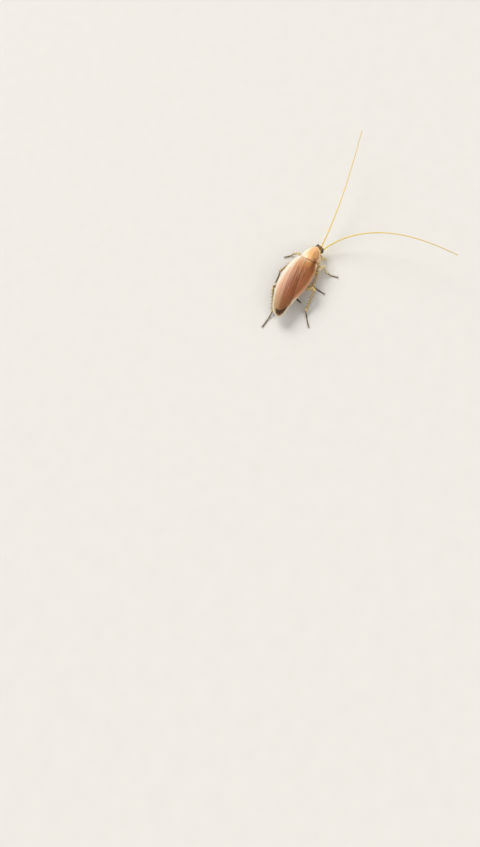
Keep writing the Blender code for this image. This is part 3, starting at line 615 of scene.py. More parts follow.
def make_wing_finish():
    """Thin amber skin: marks are vein, rim, smoke and depth, from the pale outer field to the seam. Smoke is
    mostly painted shadow and shade, partly the wings' own dark marks.

    The rim is clear and pale, the veins are a little darker than the skin between them. The front is
    more golden where it is deep, and the rear has less red.
    """
    done = Finish("wing_skin", {"IOR": 1.40, "Coat Roughness": 0.22, **SKIN_DEPTH})
    vein, rim, shade_and_smoke, depth = done.marks
    cloudy = done.noise(900, 4)
    fine = done.noise(9000, 3, 0.6, (0.35, 1, 1))
    lit = done.ramp(depth, WING_STOPS, WING_LIGHT)
    dim = done.ramp(depth, WING_STOPS, WING_DARK)
    base = cloudy.mix(dim, lit)
    along = done.node("ShaderNodeSeparateXYZ", values={0: done.spot})
    front = ((along - (SHIFT[0] + 1.4 * MM)) / (3.2 * MM)).clamped()
    base = base.tinted(rgb(1.0, 0.92, 0.52), front * (depth * 3.0 - 0.45).clamped())
    rear = ((SHIFT[0] - 2.0 * MM - along) / (2.6 * MM)).clamped()
    base = base.tinted(rgb(0.78, 1.0, 0.98), rear)
    veined = (vein * 0.30).mix(base, base.tinted(rgb(0.55, 0.36, 0.26), 1.0))
    edged = (rim * 0.90).mix(veined, rgb(0.88, 0.76, 0.58))
    # Painted shadow and shade: where the smoke mark is high the colour goes near black
    return done.use(
        Base_Color=(shade_and_smoke * (0.92 + fine * 0.16)).clamped().mix(edged, rgb(0.060, 0.021, 0.004)),
        Alpha=1.0 - rim * (1.0 - shade_and_smoke) * 0.45,
        Roughness=0.30 + fine * 0.16,
        Coat_Weight=0.10 + cloudy * 0.16,
        Normal=done.bump(vein * 0.5 + fine * 0.2, 0.00002, 0.4),
    )


def make_shell_finish(name, dark, mid, pale, rough, coat, pits=0.4, clear=0.0):
    """Horny skin: marks are dark, pale and thin. Colour wanders between dark and pale, with fine pits."""
    done = Finish(name, {"IOR": 1.42, "Coat Roughness": 0.15, **SKIN_DEPTH})
    darkened, paled, thin, _ = done.marks
    cloudy = done.noise(1300, 4)
    fine = done.noise(14000, 2)
    halfway = [0.5 * (a + b) for a, b in zip(mid, pale)]
    base = (cloudy * 0.8 + fine * 0.2).mix(rgb(*mid), rgb(*halfway))
    colour = (paled * (0.75 + cloudy * 0.25)).clamped().mix(base, rgb(*pale))
    sockets = {
        "Base_Color": (darkened * (0.8 + fine * 0.3)).clamped().mix(colour, rgb(*dark)),
        "Roughness": rough + fine * 0.18,
        "Coat_Weight": coat * (0.6 + cloudy * 0.6),
        "Normal": done.bump(fine * pits + done.cells(11000) * 0.5 * pits, 0.00002, 0.45),
    }
    if clear:
        sockets["Alpha"] = 1.0 - thin * clear
    return done.use(**sockets)


def make_eye_finish():
    """Black compound eye: a glossy skin over a tight net of facets, with a brown depth between them."""
    done = Finish("eye_facets", {"IOR": 1.56, "Coat Roughness": 0.05, "Coat Weight": 0.7})
    facets = done.cells(26000)
    patch = done.noise(2500, 2)
    colour = (facets * 0.6 + patch * 0.5).clamped().mix(rgb(0.006, 0.004, 0.004), rgb(0.050, 0.020, 0.010))
    normal = done.bump(1.0 - facets, 0.000012, 0.5)
    return done.use(Base_Color=colour, Roughness=0.16 + facets * 0.12, Normal=normal)


def make_floor_finish():
    done = Finish("floor_paper", {"Specular IOR Level": 0.25})
    grain = done.noise(400, 4)
    colour = grain.mix(rgb(0.74, 0.73, 0.71), rgb(0.78, 0.77, 0.75))
    return done.use(Base_Color=colour, Roughness=0.72 + grain * 0.15)


# Wings


def wing_lines(x):
    """Left edge, right edge, middle and half width of the closed wings."""
    middle = curve(WING_MIDDLES, x)
    half = curve(WING_HALF_WIDTHS, x)
    return middle + half, middle - half, middle, half


def seam(x):
    return SEAM_START[1] - SEAM_SLOPE * (SEAM_START[0] - x)


def back_height(x, y):
    """Top of the closed wings: ridge(x) - (0.25 + 0.62 half / 2.4) * across^power.

    Here across is |y - middle| over the half width, or over 0.75 where that is more, and at most 1.25.
    The ridge falls as (x - top)^2, and by the tip fall at the very end, less towards the edges.
    """
    _, _, middle, half = wing_lines(x)
    across = np.minimum(np.abs(y - middle) / np.maximum(half, 0.75), 1.25)
    ridge = BACK_TOP - BACK_FALL * (x - BACK_TOP_X) ** 2
    ridge = ridge - TIP_FALL * fade(-5.35, -5.95, x) * (1 - 0.8 * np.minimum(across, 1) ** 2)
    return ridge - (0.25 + 0.62 * half / 2.4) * across**ARCH_POWER


def vein_relief(x, v, width):
    """Height in mm and strength from 0 to 1 of the veins at station x and share v from outer edge to seam.

    Main veins are bells at fixed v. Between them run fine ones, near the outer edge oblique ones, and
    faint cross veins join them. The curved furrow parts off a field by the seam with veins of its own.
    """
    furrow = 0.58 + 0.44 * np.clip((SEAM_START[0] - x) / 3.6, 0, None) ** 1.5
    inside = fade(-0.01, 0.01, v - furrow)
    main = sum(bell(v, at + 0.006 * np.sin(0.9 * x + 9 * at), 0.042 / width) for at in VEINS)
    fan = 26 * v + 0.12 * np.sin(0.6 * x)
    fine = crests(fan, 6) * fade(0.24, 0.32, v)
    oblique = crests(x / 0.34 - v * width / 0.50, 8) * (1 - fade(0.24, 0.34, v))
    crossing = crests(x / 0.22 + scatter(np.floor(fan), 4), 16) * fade(0.26, 0.34, v)
    own = held((v - furrow) / np.maximum(1 - furrow, 0.05))
    axillary = crests(own * 4 + 0.5, 6)
    outer = main * 0.85 + fine * 0.30 + oblique * 0.30 + crossing * 0.16
    strength = outer * (1 - inside) + inside * (axillary * 0.45 + crossing * 0.12)
    groove = bell(v, furrow, 0.04 / width) * (furrow < 1.02)
    height = 0.024 * np.clip(strength, 0, 1.2) - 0.030 * groove
    return height, held(strength + 0.5 * groove)


def left_marks(x, y, left, middle, edge, past_seam, crescent):
    """Rim, smoke and depth of the left wing, at the distance edge from its outer edge.

    The rim is the outermost 0.2, all along on the left and only by the tip on the right. Smoke is the
    crescent, painted shadow seen through the clear tip, and a faint cloud past the seam. Depth is a power of
    the share inwards from the left edge and grows to the rear, and it falls to 0 at the outer edge over a
    margin that is widest in front. The pale outer field this leaves is partly the wing's own pale field and
    partly painted sheen on the slope turned to the light. Depth is less in the golden field in front and
    along the lit edge at the seam, a painted highlight on the raised edge of the wing.
    """
    rim = fade(0.24, 0.13, edge) * fade(5.1, 4.4, x)
    rim = rim * np.where(y < middle, fade(-3.3, -4.4, x), 1.0)
    rim = rim * (1 - 0.35 * fade(-4.0, -5.4, x))
    shade_and_smoke = crescent + 0.22 * bell(past_seam, 0.30, 0.30) * bell(x, -0.6, 2.0)
    inward = fade(0.06, 0.88, (left - y) / np.maximum(left - seam(x), 0.4))
    # Painted sheen on the wing's own pale outer field: within this margin of the outer edge, widest in
    # front, the colour goes to the palest stop
    sheen_and_pale_margin = 0.75 - 0.42 * fade(1.5, -4.5, x) + 0.50 * fade(1.8, 4.0, x)
    depth = 0.02 + 0.94 * inward ** (0.85 + 0.6 * fade(1.2, 3.2, x)) + 0.32 * fade(2.4, -3.6, x)
    golden = bell(x, 4.6, 1.7) * fade(1.5, 0.7, past_seam)
    # Painted highlight along the raised edge of the left wing at the seam
    lit_edge = bell(past_seam, 0.12, 0.15) * fade(-0.5, 2.8, x)
    return rim, shade_and_smoke, depth * (1 - 0.62 * golden) * (1 - 0.28 * lit_edge) * fade(0.05, sheen_and_pale_margin, edge)


def right_marks(x, y, middle, edge, past_seam, crescent):
    """Rim, smoke and depth of the right wing, at the distance edge from its outer edge.

    The rim is narrow and faint, stronger to the rear. Smoke is the strongest of the crescent, the mark at
    the shoulder, the streaks behind it and the line along the seam. The crescent is painted shadow seen
    through the clear tip, the line along the seam is the painted shadow of the left wing's edge, and the
    shoulder mark and streaks are partly the wing's own dark and partly painted shade. Depth is even and
    deep, partly the wing's own brown and partly painted shade, as this wing lies on the side away from the
    light; it is less in the front field near the seam and along the right edge. That pale edge is partly the
    wing's pale margin and partly painted light, most by the shoulder.
    """
    rim = (0.22 + 0.55 * fade(-1.6, -3.4, x)) * fade(0.19, 0.08, edge)
    rim = rim * fade(5.1, 4.4, x) * (y < middle)
    shade_and_smoke = np.maximum(0.7 * crescent, 0.60 * blotch(x, y, RIGHT_SHOULDER, 0.20))
    for streak in STREAKS:
        shade_and_smoke = np.maximum(shade_and_smoke, 0.44 * blotch(x, y, streak, 0.14))
    # Painted shadow of the left wing's edge, cast on the right wing along the seam
    shade_and_smoke = np.maximum(shade_and_smoke, 0.40 * bell(past_seam, -0.03, 0.09) * fade(3.6, 1.2, x))
    # Partly painted shade: the right wing stays deep almost to its edge, on the side away from the light
    depth = 0.94 - 0.66 * bell(x, 4.9, 1.7) * fade(-1.4, -0.4, y)
    # The pale right edge is partly the wing's pale margin and partly painted light, most by the shoulder
    pale_and_lit_edge = 0.52 - 0.12 * fade(2.0, 3.4, x) + 0.40 * bell(x, 4.5, 0.7)
    pale_and_lit_edge = pale_and_lit_edge + 0.36 * fade(-1.0, -3.2, x)
    return rim, shade_and_smoke, depth - pale_and_lit_edge * fade(0.55, 0.10, edge)


def make_wing(side, material):
    """One wing as a thin arched plate, from its outer edge (v = 0) to its inner one (v = 1).

    The left wing laps over the right one along the seam, or along the right edge behind their meeting.
    The right one runs on below it by up to 0.95. Both lie at back_height, raised by the veins and
    lowered by 0.13 below the shield. The right one sinks below the left from 1.4 before the seam on.
    """
    u, v = grid(*WING_GRIDS[side])
    x = WING_FRONT + (WING_TIPS[side] - WING_FRONT) * np.sin(0.5 * np.pi * u) ** 1.15 + 0 * v
    left, right, middle, half = wing_lines(x)
    seam_y = seam(x)
    near_tip = fade(-5.3, -5.75, x)
    if side == "left":
        soft_inner = 0.5 * (seam_y + right + np.hypot(seam_y - right, 0.5))
        outer, inner = left, np.maximum(seam_y, right)
        width = outer - soft_inner
        y = outer + (inner - outer) * v
        share = (outer - y) / width
    else:
        outer = right + 0.04 * fade(-2.5, -4.5, x) + 0.16 * near_tip
        inner = np.minimum(seam_y + 0.95, left - 0.12 - 0.24 * near_tip)
        width = np.abs(inner - outer)
        y = outer + (inner - outer) * v
        share = held(np.abs(y - right) / np.maximum(seam_y - right, 0.25))
    slope = np.gradient(half[:, 0], x[:, 0])[:, None]
    edge = (half - np.abs(y - middle)) / np.sqrt(1 + slope**2)
    height, vein = vein_relief(x, share, width)
    vein = vein * fade(0.02, 0.15, edge)
    z = back_height(x, y) + height * fade(0.0, 0.12, edge)
    z = z - 0.13 * fade(4.60, 4.95, x)
    past_seam = y - seam_y
    crescent = blotch(x, y, CRESCENT, 0.07)
    skin = WING_SKIN * (1 + 0.24 * vein)
    if side == "left":
        rim, shade_and_smoke, depth = left_marks(x, y, left, middle, edge, past_seam, crescent)
        skin = skin * (0.42 + 0.58 * fade(0.02, 0.35, past_seam))
    else:
        rim, shade_and_smoke, depth = right_marks(x, y, middle, edge, past_seam, crescent)
        z = z - 0.065 * fade(-1.4, -0.02, past_seam) - 0.055 * fade(0.02, 0.40, past_seam)
        z = z - 0.06 * fade(-3.2, -4.4, x) + 0.04 * near_tip
    marks = marked(vein, rim, held(shade_and_smoke) * (1 - 0.9 * rim), held(depth))
    pile = Pile()
    pile.plate(xyz(x, y, z), xyz(x, y, z - skin), marks)
    pile.piece("wing_" + side, material, "wing", "tegmen_" + side)


def make_hind_wings(material):
    """The folded hind wings: two pleated fans below the backs, with z rippled across by cos(14 pi v)."""
    u, v = grid(120, 40)
    pleats = 7 * v
    for side, sign in SIDES.items():
        x = 4.3 - 9.75 * u + 0 * v
        _, _, middle, half = wing_lines(x)
        y = middle + sign * half * (0.03 + 0.80 * v * fade(-0.02, 0.25, u))
        z = back_height(x, y) - HIND_WING_DROP + 0.028 * np.cos(2 * np.pi * pleats) - 0.04 * (sign < 0)
        top = xyz(x, y, z)
        pile = Pile()
        shade_and_smoke = 0.25 + 0.5 * fade(-3.8, -5.2, x)
        pile.plate(top, top - [0, 0, 0.03], marked(crests(pleats, 4), 0.0, shade_and_smoke, 0.8))
        pile.piece("hind_wing_" + side, material, "wing")


# Shield


def make_shield(material):
    """The pronotum: radius r and angle a give a rounded trapezium, domed, thin at its edge.

    Forward is r cos a, across is r |sin a|^corners (1 - taper cos a), and the whole is turned by the yaw.
    The height falls by arch |across|^2.4 to the sides and by nod and its curve to the front.
    """
    rings, sectors = 64, 144
    r = np.sin(0.5 * np.pi * np.linspace(0, 1, rings))[:, None] ** 0.9
    c, s = circle(sectors)
    forward = r * c
    across = r * signed_power(s, SHIELD_CORNERS) * (1 - SHIELD_TAPER * c)
    away = np.abs(across)
    z = SHIELD_TOP - SHIELD_ARCH * away**2.4 - SHIELD_NOD * forward - SHIELD_NOD_CURVE * forward**2
    z -= 0.030 * bell(away, 0.42 - 0.22 * forward, 0.10) * bell(forward, -0.05, 0.45)
    z -= 0.022 * bell(across, 0.0, 0.05) * fade(0.2, -0.7, forward)
    z += 0.035 * fade(0.93, 1.0, r) * fade(0.3, 0.8, away)
    thick = 0.07 + 0.16 * (1 - r**4)
    x, y = turned(0.5 * SHIELD_LENGTH * forward, 0.5 * SHIELD_WIDTH * across, SHIELD_YAW)
    x, y = SHIELD_CENTRE[0] + x, SHIELD_CENTRE[1] + y
    side_rim = fade(0.74, 0.94, r) * fade(0.30, 0.75, np.abs(s))
    front_rim = 0.55 * fade(0.90, 0.98, r) * (c > 0)
    rim = np.maximum(side_rim, front_rim)
    disc = 1 - fade(0.55, 0.80, r)
    # Dark rear corners, much stronger on the right: partly the shield's own dark, partly painted shade on
    # the side away from the light
    corner_dark_and_shade = bell(forward, -0.84, 0.22) * (bell(across, -0.86, 0.26) + 0.25 * bell(across, 0.86, 0.20))
    # Painted shade: a soft dark ring on the right side, away from the light
    line = 0.28 * bell(r, 0.78, 0.10) * fade(0.25, 0.7, -across)
    rear = 0.30 * fade(-0.86, -1.04, forward) * (1 - rim)
    pattern = 0.20 * disc * bell(away, 0.30 - 0.1 * forward, 0.14) * bell(forward, -0.1, 0.55)
    dark = held(corner_dark_and_shade + line + rear + pattern)
    # Painted shade: deeper amber over the right half
    amber = 0.30 * fade(0.1, -0.6, across) * (1 - corner_dark_and_shade) * (1 - rim)
    # Painted light: the left half and its rim are paler, as the light comes from the left
    painted_light_side = 0.44 + 0.66 * fade(-0.7, 0.5, across)
    pale = held(rim * 1.1 * painted_light_side + 0.85 * fade(0.10, 0.95, across) - corner_dark_and_shade)
    marks = marked(held(dark + amber), pale, rim)
    top = xyz(x, y, z)
    bottom = xyz(x, y, z - thick)
    lip = 0.5 * (top[-1] + bottom[-1])
    lip[:, :2] += 0.02 * unit(lip[:, :2] - np.array(SHIELD_CENTRE))
    pile = Pile()
    pile.tube(np.r_[top, lip[None], bottom[::-1]], np.r_[marks, marks[-1:], marks[::-1]])
    pile.piece("shield", material, "shield", "pronotum")


# Trunk


def trunk_rings(x, half, low, high, middle):
    """Sections of the trunk: arched above, flatter below, with a thin side edge where the plates meet."""
    c, s = circle(TRUNK_SIDES)
    level = low + 0.45 * (high - low)
    y = middle + half[:, None] * signed_power(c, 0.72)
    rise = np.where(s > 0, (high - level)[:, None] * s, (level - low)[:, None] * signed_power(s, 0.62))
    return np.stack([np.broadcast_to(x[:, None], y.shape), y, level[:, None] + rise], -1), c, s


def make_thorax(material):
    """Neck and three rings of the thorax, with soft folds between.

    Half width and depth swell over each ring as sin(pi t)^0.28, and the neck is folded as a cosine of x.
    """
    x = np.linspace(7.72, 1.60, 200)
    local = np.zeros_like(x)
    for front, rear in zip(THORAX_RINGS, THORAX_RINGS[1:]):
        local = np.where((x <= front) & (x > rear), (front - x) / (front - rear), local)
    swell = np.sin(np.pi * local) ** 0.28
    neck_start = THORAX_RINGS[0]
    folds = np.where(x > neck_start, 0.5 + 0.5 * np.cos(2 * np.pi * (x - neck_start) / NECK_FOLD), 0.0)
    half = curve(THORAX_WIDTHS, x) * (0.86 + 0.14 * swell + 0.05 * folds)
    roof = back_height(np.minimum(x, 4.9), 0.15 + 0 * x) - ROOF_DROP
    roof = np.where(x > 4.7, np.minimum(roof, 2.24 - 0.28 * (x - 4.7)), roof)
    high = roof - 0.10 * (1 - swell) + 0.04 * folds
    low = curve(THORAX_LOWS, x) + 0.12 * (1 - swell)
    middle = (0.05 - 0.02 * np.clip(x - 6, 0, None))[:, None]
    points, c, s = trunk_rings(x, half, low, high, middle)
    swell, folds = swell[:, None], folds[:, None]
    points[..., 2] -= 0.05 * bell(c, 0.0, 0.10) * (s < 0) * swell
    plate = swell * bell(np.abs(c), 0.55, 0.30) * (s < 0)
    collar = bell(x, 7.02, 0.10)[:, None] * bell(np.abs(c), 0.45, 0.25) * (s > 0)
    side_plate = 0.45 * swell * bell(s, 0.15, 0.30) * (np.abs(c) > 0.4)
    fold = 1 - swell
    dark = held(0.35 * plate + 0.25 * bell(fold, 0.35, 0.2) + 0.5 * collar + side_plate)
    pale = held(fold * (0.75 + 0.2 * folds))
    pile = Pile()
    pile.tube(points, marked(dark, pale))
    pile.piece("thorax", material, "skin", "prothorax", "mesothorax", "metathorax")


def make_abdomen(material):
    """Seven overlapping rings: a saw tooth of 0.05 along each, a thin side edge, and an end plate."""
    t = np.linspace(0, 1, 240)
    x = ABDOMEN_FRONT + (ABDOMEN_REAR - ABDOMEN_FRONT) * t
    phase = np.modf(t * ABDOMEN_RINGS * 0.999)[0]
    lip = fade(0.0, 0.10, phase) * (1 - fade(0.93, 1.0, phase))
    saw = phase * lip
    half = curve(ABDOMEN_HALF_WIDTHS, t) * (0.965 + 0.035 * saw)
    high = back_height(x, 0.1 + 0 * x) - ROOF_DROP - 0.55 * t**3 - 0.06 * (1 - saw)
    low = 1.06 + 0.14 * t**3 + 0.05 * (1 - saw)
    ends = round_ends(t, 0.0, 0.05)
    centre = 0.5 * (high + low)
    low, high = centre + (low - centre) * ends, centre + (high - centre) * ends
    points, c, s = trunk_rings(x, half * ends, low, high, ABDOMEN_MIDDLE[1])
    side_band = bell(np.abs(c), 1.0, 0.10)
    hem = fade(0.72, 0.92, phase) * lip
    below = 0.40 * bell(np.abs(c), 0.62, 0.16) * (s < 0)
    dark = 0.55 * hem[:, None] * (1 - side_band) + below + 0.5 * fade(0.8, 1.0, t)[:, None]
    pale = held((1 - lip)[:, None] * 0.8 + 0.5 * side_band)
    pile = Pile()
    pile.tube(points, marked(held(dark), pale))
    t = eased(10, 0.12)
    radius = 0.035 * round_ends(t, 0.1, 0.5)
    for sign in SIDES.values():
        y = ABDOMEN_MIDDLE[1] + sign * STYLE_Y
        style = course([(-1.18, y, 1.20), (-1.45, y + sign * 0.02, 1.16), (-1.62, y, 1.12)], t)
        pile.limb(style, radius, 8, (0.6, 0, 0, 0))
    pile.piece("abdomen", material, "belly", "abdomen")


def make_cerci(material):
    """Ringed spindles with long fine hairs.

    The radius is 0.085 + 0.105 sin(pi (0.12 + 0.88 t)) - 0.05 t^2, times 0.86 + 0.14 |sin 10 pi t|^0.6.
    """
    t = eased(90, 0.3)
    knots = np.abs(np.sin(10 * np.pi * t))
    spindle = 0.085 + 0.105 * np.sin(np.pi * (0.12 + 0.88 * t)) - 0.05 * t**2
    radii = spindle * (0.86 + 0.14 * knots**0.6) * round_ends(t, 0.02, 0.07)
    for side, line in CERCUS_COURSES.items():
        path = course(line, t)
        pile = Pile()
        marks = marked(1 - 0.35 * knots, 0.4 * fade(0.25, 0.0, t))
        pile.limb(path, radii, 20, marks[:, None], radii * 0.9)
        pile.hairs(path, radii, 20, 5, 0.30, 0.007, 0.4, 11)
        pile.piece("cercus_" + side, material, "tail", "cercus_" + side)


# Head


def in_head(points):
    """From the head's own frame: pitched forward, turned to the right, then set at its place."""
    x, y, z = np.moveaxis(np.asarray(points, float), -1, 0)
    x, z = turned(x, z, -HEAD_PITCH)
    x, y = turned(x, y, HEAD_YAW)
    return xyz(x, y, z) + np.array(HEAD_CENTRE)


def mirrored(points, sign):
    """Points of the left side, or their mirror images where sign is -1."""
    return np.array(points) * (1, sign, 1)


def make_head(material):
    """Egg with its point down: width, depth and level by share t from crown to lip, flattened on the face.

    The face has furrows above and below the lip plate and beside it, and a ring round each feeler.
    """
    t = np.linspace(0, 1, 130)
    c, s = circle(120)
    sections = np.array(HEAD_SECTIONS)
    wide, deep, level = (curve(sections[:, (0, k)], t)[:, None] for k in (1, 2, 3))
    x = deep * signed_power(c, 0.85) * np.where(c > 0, 0.92, 1.0)
    y = wide * signed_power(s, 0.95)
    z = level + 0 * c
    face = (c > 0) * 1.0
    brow = 0.030 * bell(z, -0.40, 0.035) * bell(y, 0.0, 0.36)
    lip_line = 0.035 * bell(z, -0.63, 0.030) * bell(y, 0.0, 0.34)
    cheek = 0.030 * bell(np.abs(y), 0.40, 0.06) * fade(-0.35, -0.50, z)
    dimple = 0.05 * bell(np.hypot(np.abs(y) - SOCKET[1], z - SOCKET[2]), 0.0, 0.14)
    x = x - face * (brow + lip_line + cheek + dimple)
    crown = fade(0.22, 0.50, z) * fade(0.62, 0.45, np.abs(y))
    spots = bell(np.hypot(np.abs(y) - 0.30, z - 0.36), 0.0, 0.07) * face
    band = 0.35 * face * bell(z, 0.05, 0.10) * bell(y, 0.0, 0.12)
    dark = 0.90 * crown * (1 - spots) + band + 4 * (lip_line + brow) * face
    pale = held(spots + 0.5 * fade(-0.2, -0.5, z) * face)
    pile = Pile()
    pile.tube(in_head(xyz(x, y, z)), marked(held(dark), pale))
    c, s = circle(40)
    bead = 0.045 * spokes(turns(12), xyz(0, c, s)[:, None], np.array(FORWARD))
    for sign in SIDES.values():
        oval = xyz(0.40, sign * SOCKET[1] + 0.16 * c, SOCKET[2] + 0.17 * s)
        pile.loop(in_head(oval[:, None] + bead), (0.5, 0.2, 0, 0))
    pile.piece("head_capsule", material, "face", "head")


def make_eyes(material):
    """A kidney on each side: an ellipsoid whose front is drawn in by 0.17 (1 - z^2) beside the feeler."""
    t = np.linspace(0, np.pi, 60)[:, None]
    c, s = circle(80)
    ux, uy, uz = np.sin(t) * c, np.sin(t) * s, np.cos(t)
    for side, sign in SIDES.items():
        x = 0.34 * ux - 0.17 * (1 - uz**2) * fade(-0.2, 1.0, ux) + 0.02
        y = sign * (0.66 + 0.24 * uy - 0.14 * (0.5 + 0.5 * uz) ** 2)
        z = 0.20 + 0.47 * uz
        pile = Pile()
        pile.tube(in_head(xyz(x, y, z)))
        pile.piece("eye_" + side, material, "eye", "eye_" + side)


def add_palp(pile, joints, widths, parts, sides):
    """A palp joint by joint: each swells from 0.7 * width at its root towards its tip."""
    for k, (one, two) in enumerate(zip(joints, joints[1:])):
        t = eased(parts, 0.4)
        line = one + (two - one) * t[:, None]
        radius = widths[k] * (0.7 + 0.3 * np.sin(np.pi * (t * 0.8))) * round_ends(t, 0.10, 0.16)
        above = above_for(one, two, 0.9)
        pile.limb(line, radius, sides, (0.2, 0.3, 0, 0), above=above)
        pile.hairs(line, radius, 5, 4, 0.09, 0.005, 0.8, 20 + k, 0.5, above)


def make_mouth(material, palp_material):
    """Lip plate in front of two hooked jaws, small inner palps, and the long five-jointed outer palps."""
    pile = Pile()
    u, v = grid(24, 32, -1.0)
    half = 0.30 * np.sqrt(held(1 - (u * 0.92) ** 3.0)) + 0.02
    x = 0.33 - 0.10 * u - 0.12 * v**2
    z = -0.62 - 0.40 * u + 0.05 * u * np.cos(3 * v)
    top = xyz(x, half * v, z)
    pile.plate(in_head(top), in_head(top - [0.06, 0, 0]), (0.25, 0.3, 0, 0))
    t = eased(24, 0.3)
    jaw_radius = (0.20 - 0.13 * t) * round_ends(t, 0.15, 0.2)
    cheek_radius = (0.15 - 0.07 * t) * round_ends(t, 0.15, 0.25)
    for sign in SIDES.values():
        jaw = in_head(course(mirrored(LEFT_JAW, sign), t))
        marks = marked(fade(0.45, 0.9, t))[:, None]
        pile.limb(jaw, jaw_radius, 16, marks, jaw_radius * 0.8, FORWARD)
        cheek = in_head(course(mirrored(LEFT_CHEEK, sign), t))
        pile.limb(cheek, cheek_radius, 14, (0.3, 0.2, 0, 0), above=FORWARD)
        add_palp(pile, in_head(mirrored(LEFT_INNER_PALP, sign)), (0.055, 0.05, 0.05), 9, 10)
    pile.piece("mouth", material, "face", "mouthparts")
    for side, sign in SIDES.items():
        pile = Pile()
        add_palp(pile, in_head(mirrored(LEFT_PALP, sign)), PALP_WIDTHS, 14, 16)
        pile.piece("palp_" + side, palp_material, "feeler", "palp_" + side)


def feeler_path(side):
    """Points of a feeler: its heading and rise turn evenly from the socket to the tip."""
    yaw, pitch, yaw_turn, pitch_turn = FEELER_COURSES[side]
    t = (np.arange(FEELER_STEPS) + 0.5) / FEELER_STEPS
    heading = np.radians(yaw + yaw_turn * (1 - (1 - t) ** 2))
    rise = np.radians(pitch + pitch_turn * t)
    step = np.stack([np.cos(rise) * np.cos(heading), np.cos(rise) * np.sin(heading), np.sin(rise)], 1)
    root, socket = in_head(mirrored([(0.36, *SOCKET[1:]), SOCKET], SIDES[side]))
    return np.vstack([root, socket, socket + np.cumsum(step, axis=0) * FEELER_LENGTH / FEELER_STEPS])


def make_feelers(material):
    """Thick base joint, a short second one, then a whip of many rings, each wider at its far end.

    The rings grow from 0.13 to 0.33 long, and their radius falls as 0.130 - 0.070 share^0.8.
    """
    for side in SIDES:
        path = feeler_path(side)
        total = run_lengths(path)[-1]
        pile = Pile()
        t = eased(24, 0.4)
        for k, (start, end) in enumerate(zip(FEELER_JOINTS, FEELER_JOINTS[1:])):
            line = course(path, (start + (end - start) * t) / total)
            swell = 0.62 + 0.38 * np.sin(np.pi * (t * 0.85 + 0.05))
            radius = FEELER_WIDTHS[k] * swell * round_ends(t, 0.12, 0.2)
            pile.limb(line, radius, 18, (0.12 * k, 0.5, 0, 0))
            pile.hairs(line, radius, 5, 5, 0.10, 0.005, 0.9, 40 + k, 0.4)
        edges = [FEELER_JOINTS[-1] - 0.02]
        while edges[-1] < total:
            edges.append(edges[-1] + 0.13 + 0.20 * min(1.0, edges[-1] / total * 1.6))
        edges = np.array(edges) * (total / edges[-1])
        near, far = edges[:-1, None], edges[1:, None]
        along = (near + (far - near) * np.array([0.0, 0.10, 0.55, 0.92])[None]).ravel()
        knots = np.tile([0.88, 0.95, 1.0, 1.0], len(edges) - 1)
        radius = np.r_[0.0, knots * (0.130 - 0.070 * (along / total) ** 0.8), 0.0]
        share = np.r_[along[0] - 0.01, along, total] / total
        line = course(path, share)
        ringed = 0.30 * np.r_[1.0, np.tile([1.0, 0.5, 0.0, 0.2], len(edges) - 1), 0.0]
        marks = marked(ringed + 0.25 * fade(0.3, 1.0, share), 0.35)
        pile.limb(line, radius, 12, marks[:, None])
        pile.hairs(line, radius, 90, 4, 0.11, 0.0045, 1.2, 50, 0.5)
        nodes = [f"antenna_{side}_{part}" for part in ("base", "near", "middle", "tip")]
        pile.piece("feeler_" + side, material, "feeler", *nodes)


# Legs


def make_coxa(name, root, hip, material, pale):
    """A stout cone sunk into the thorax, flattened: its radius is 0.36 + 0.06 sin(pi t) - 0.17 t^1.5."""
    start = root + np.array([0.22, -0.12 * np.sign(root[1]), 0.50])
    t = eased(40, 0.3)
    path = course([start, root, hip + 0.04 * (hip - root)], t)
    wide = (0.36 + 0.06 * np.sin(np.pi * t) - 0.17 * t**1.5) * round_ends(t, 0.10, 0.14)
    marks = marked(0.35 * fade(0.75, 0.95, t), (0.25 + pale * 0.5) * (1 - t))
    pile = Pile()
    pile.limb(path, wide, 28, marks[:, None], wide * 0.82, FORWARD)
    pile.hairs(path, wide, 6, 5, 0.10, 0.006, 0.8, 61, above=FORWARD)
    pile.piece("coxa_" + name, material, "leg", "coxa_" + name)


def make_femur(name, hip, knee, thigh, material, pale):
    """Small ring at the hip, then a flattened spindle, deepest at 0.38, with two rows of spines below."""
    above = above_for(hip, knee)
    axis = unit(knee - hip)
    side, up = side_and_up(axis, above)
    pile = Pile()
    t = eased(16, 0.5)
    collar = hip - 0.16 * axis + (0.42 * axis)[None] * t[:, None]
    radius = 0.195 * round_ends(t, 0.4, 0.4)
    pile.limb(collar, radius, 20, (0.45, 0.1, 0, 0), above=above)
    t = eased(70, 0.3)
    bow = np.array([0.0, 0.0, 0.06]) * np.sin(np.pi * t)[:, None]
    path = hip + 0.14 * axis + (knee - hip - 0.06 * axis)[None] * t[:, None] + bow
    deep = thigh * curve(FEMUR_DEPTHS, t) * round_ends(t, 0.05, 0.06)
    wide = deep * (0.68 + 0.16 * pale)
    sides = 32
    edge = bell(np.abs(circle(sides)[1]), 1.0, 0.16) * fade(0.0, 0.2, t)[:, None]
    dark = held(0.45 * edge + 0.55 * fade(0.88, 0.98, t)[:, None]) * (1 - 0.75 * pale)
    marks = marked(dark, pale + 0.25 * (1 - edge) * (1 - pale))
    pile.limb(path, wide, sides, marks, deep, above)
    pile.hairs(path, deep * 0.9, 16, 6, 0.10, 0.0055, 1.1, 71, 0.55, above)
    base = at_shares(path, t, np.linspace(0.35, 0.88, 6)) - up * 0.55 * thigh
    for sign in SIDES.values():
        root = base + side * sign * 0.10
        tip = root + unit(axis * 0.6 - up * 0.8 + side * sign * 0.5) * 0.24
        pile.spikes(root, tip, 0.022, 6, 0.0, 0.75)
    pile.piece("femur_" + name, material, "leg", "femur_" + name)


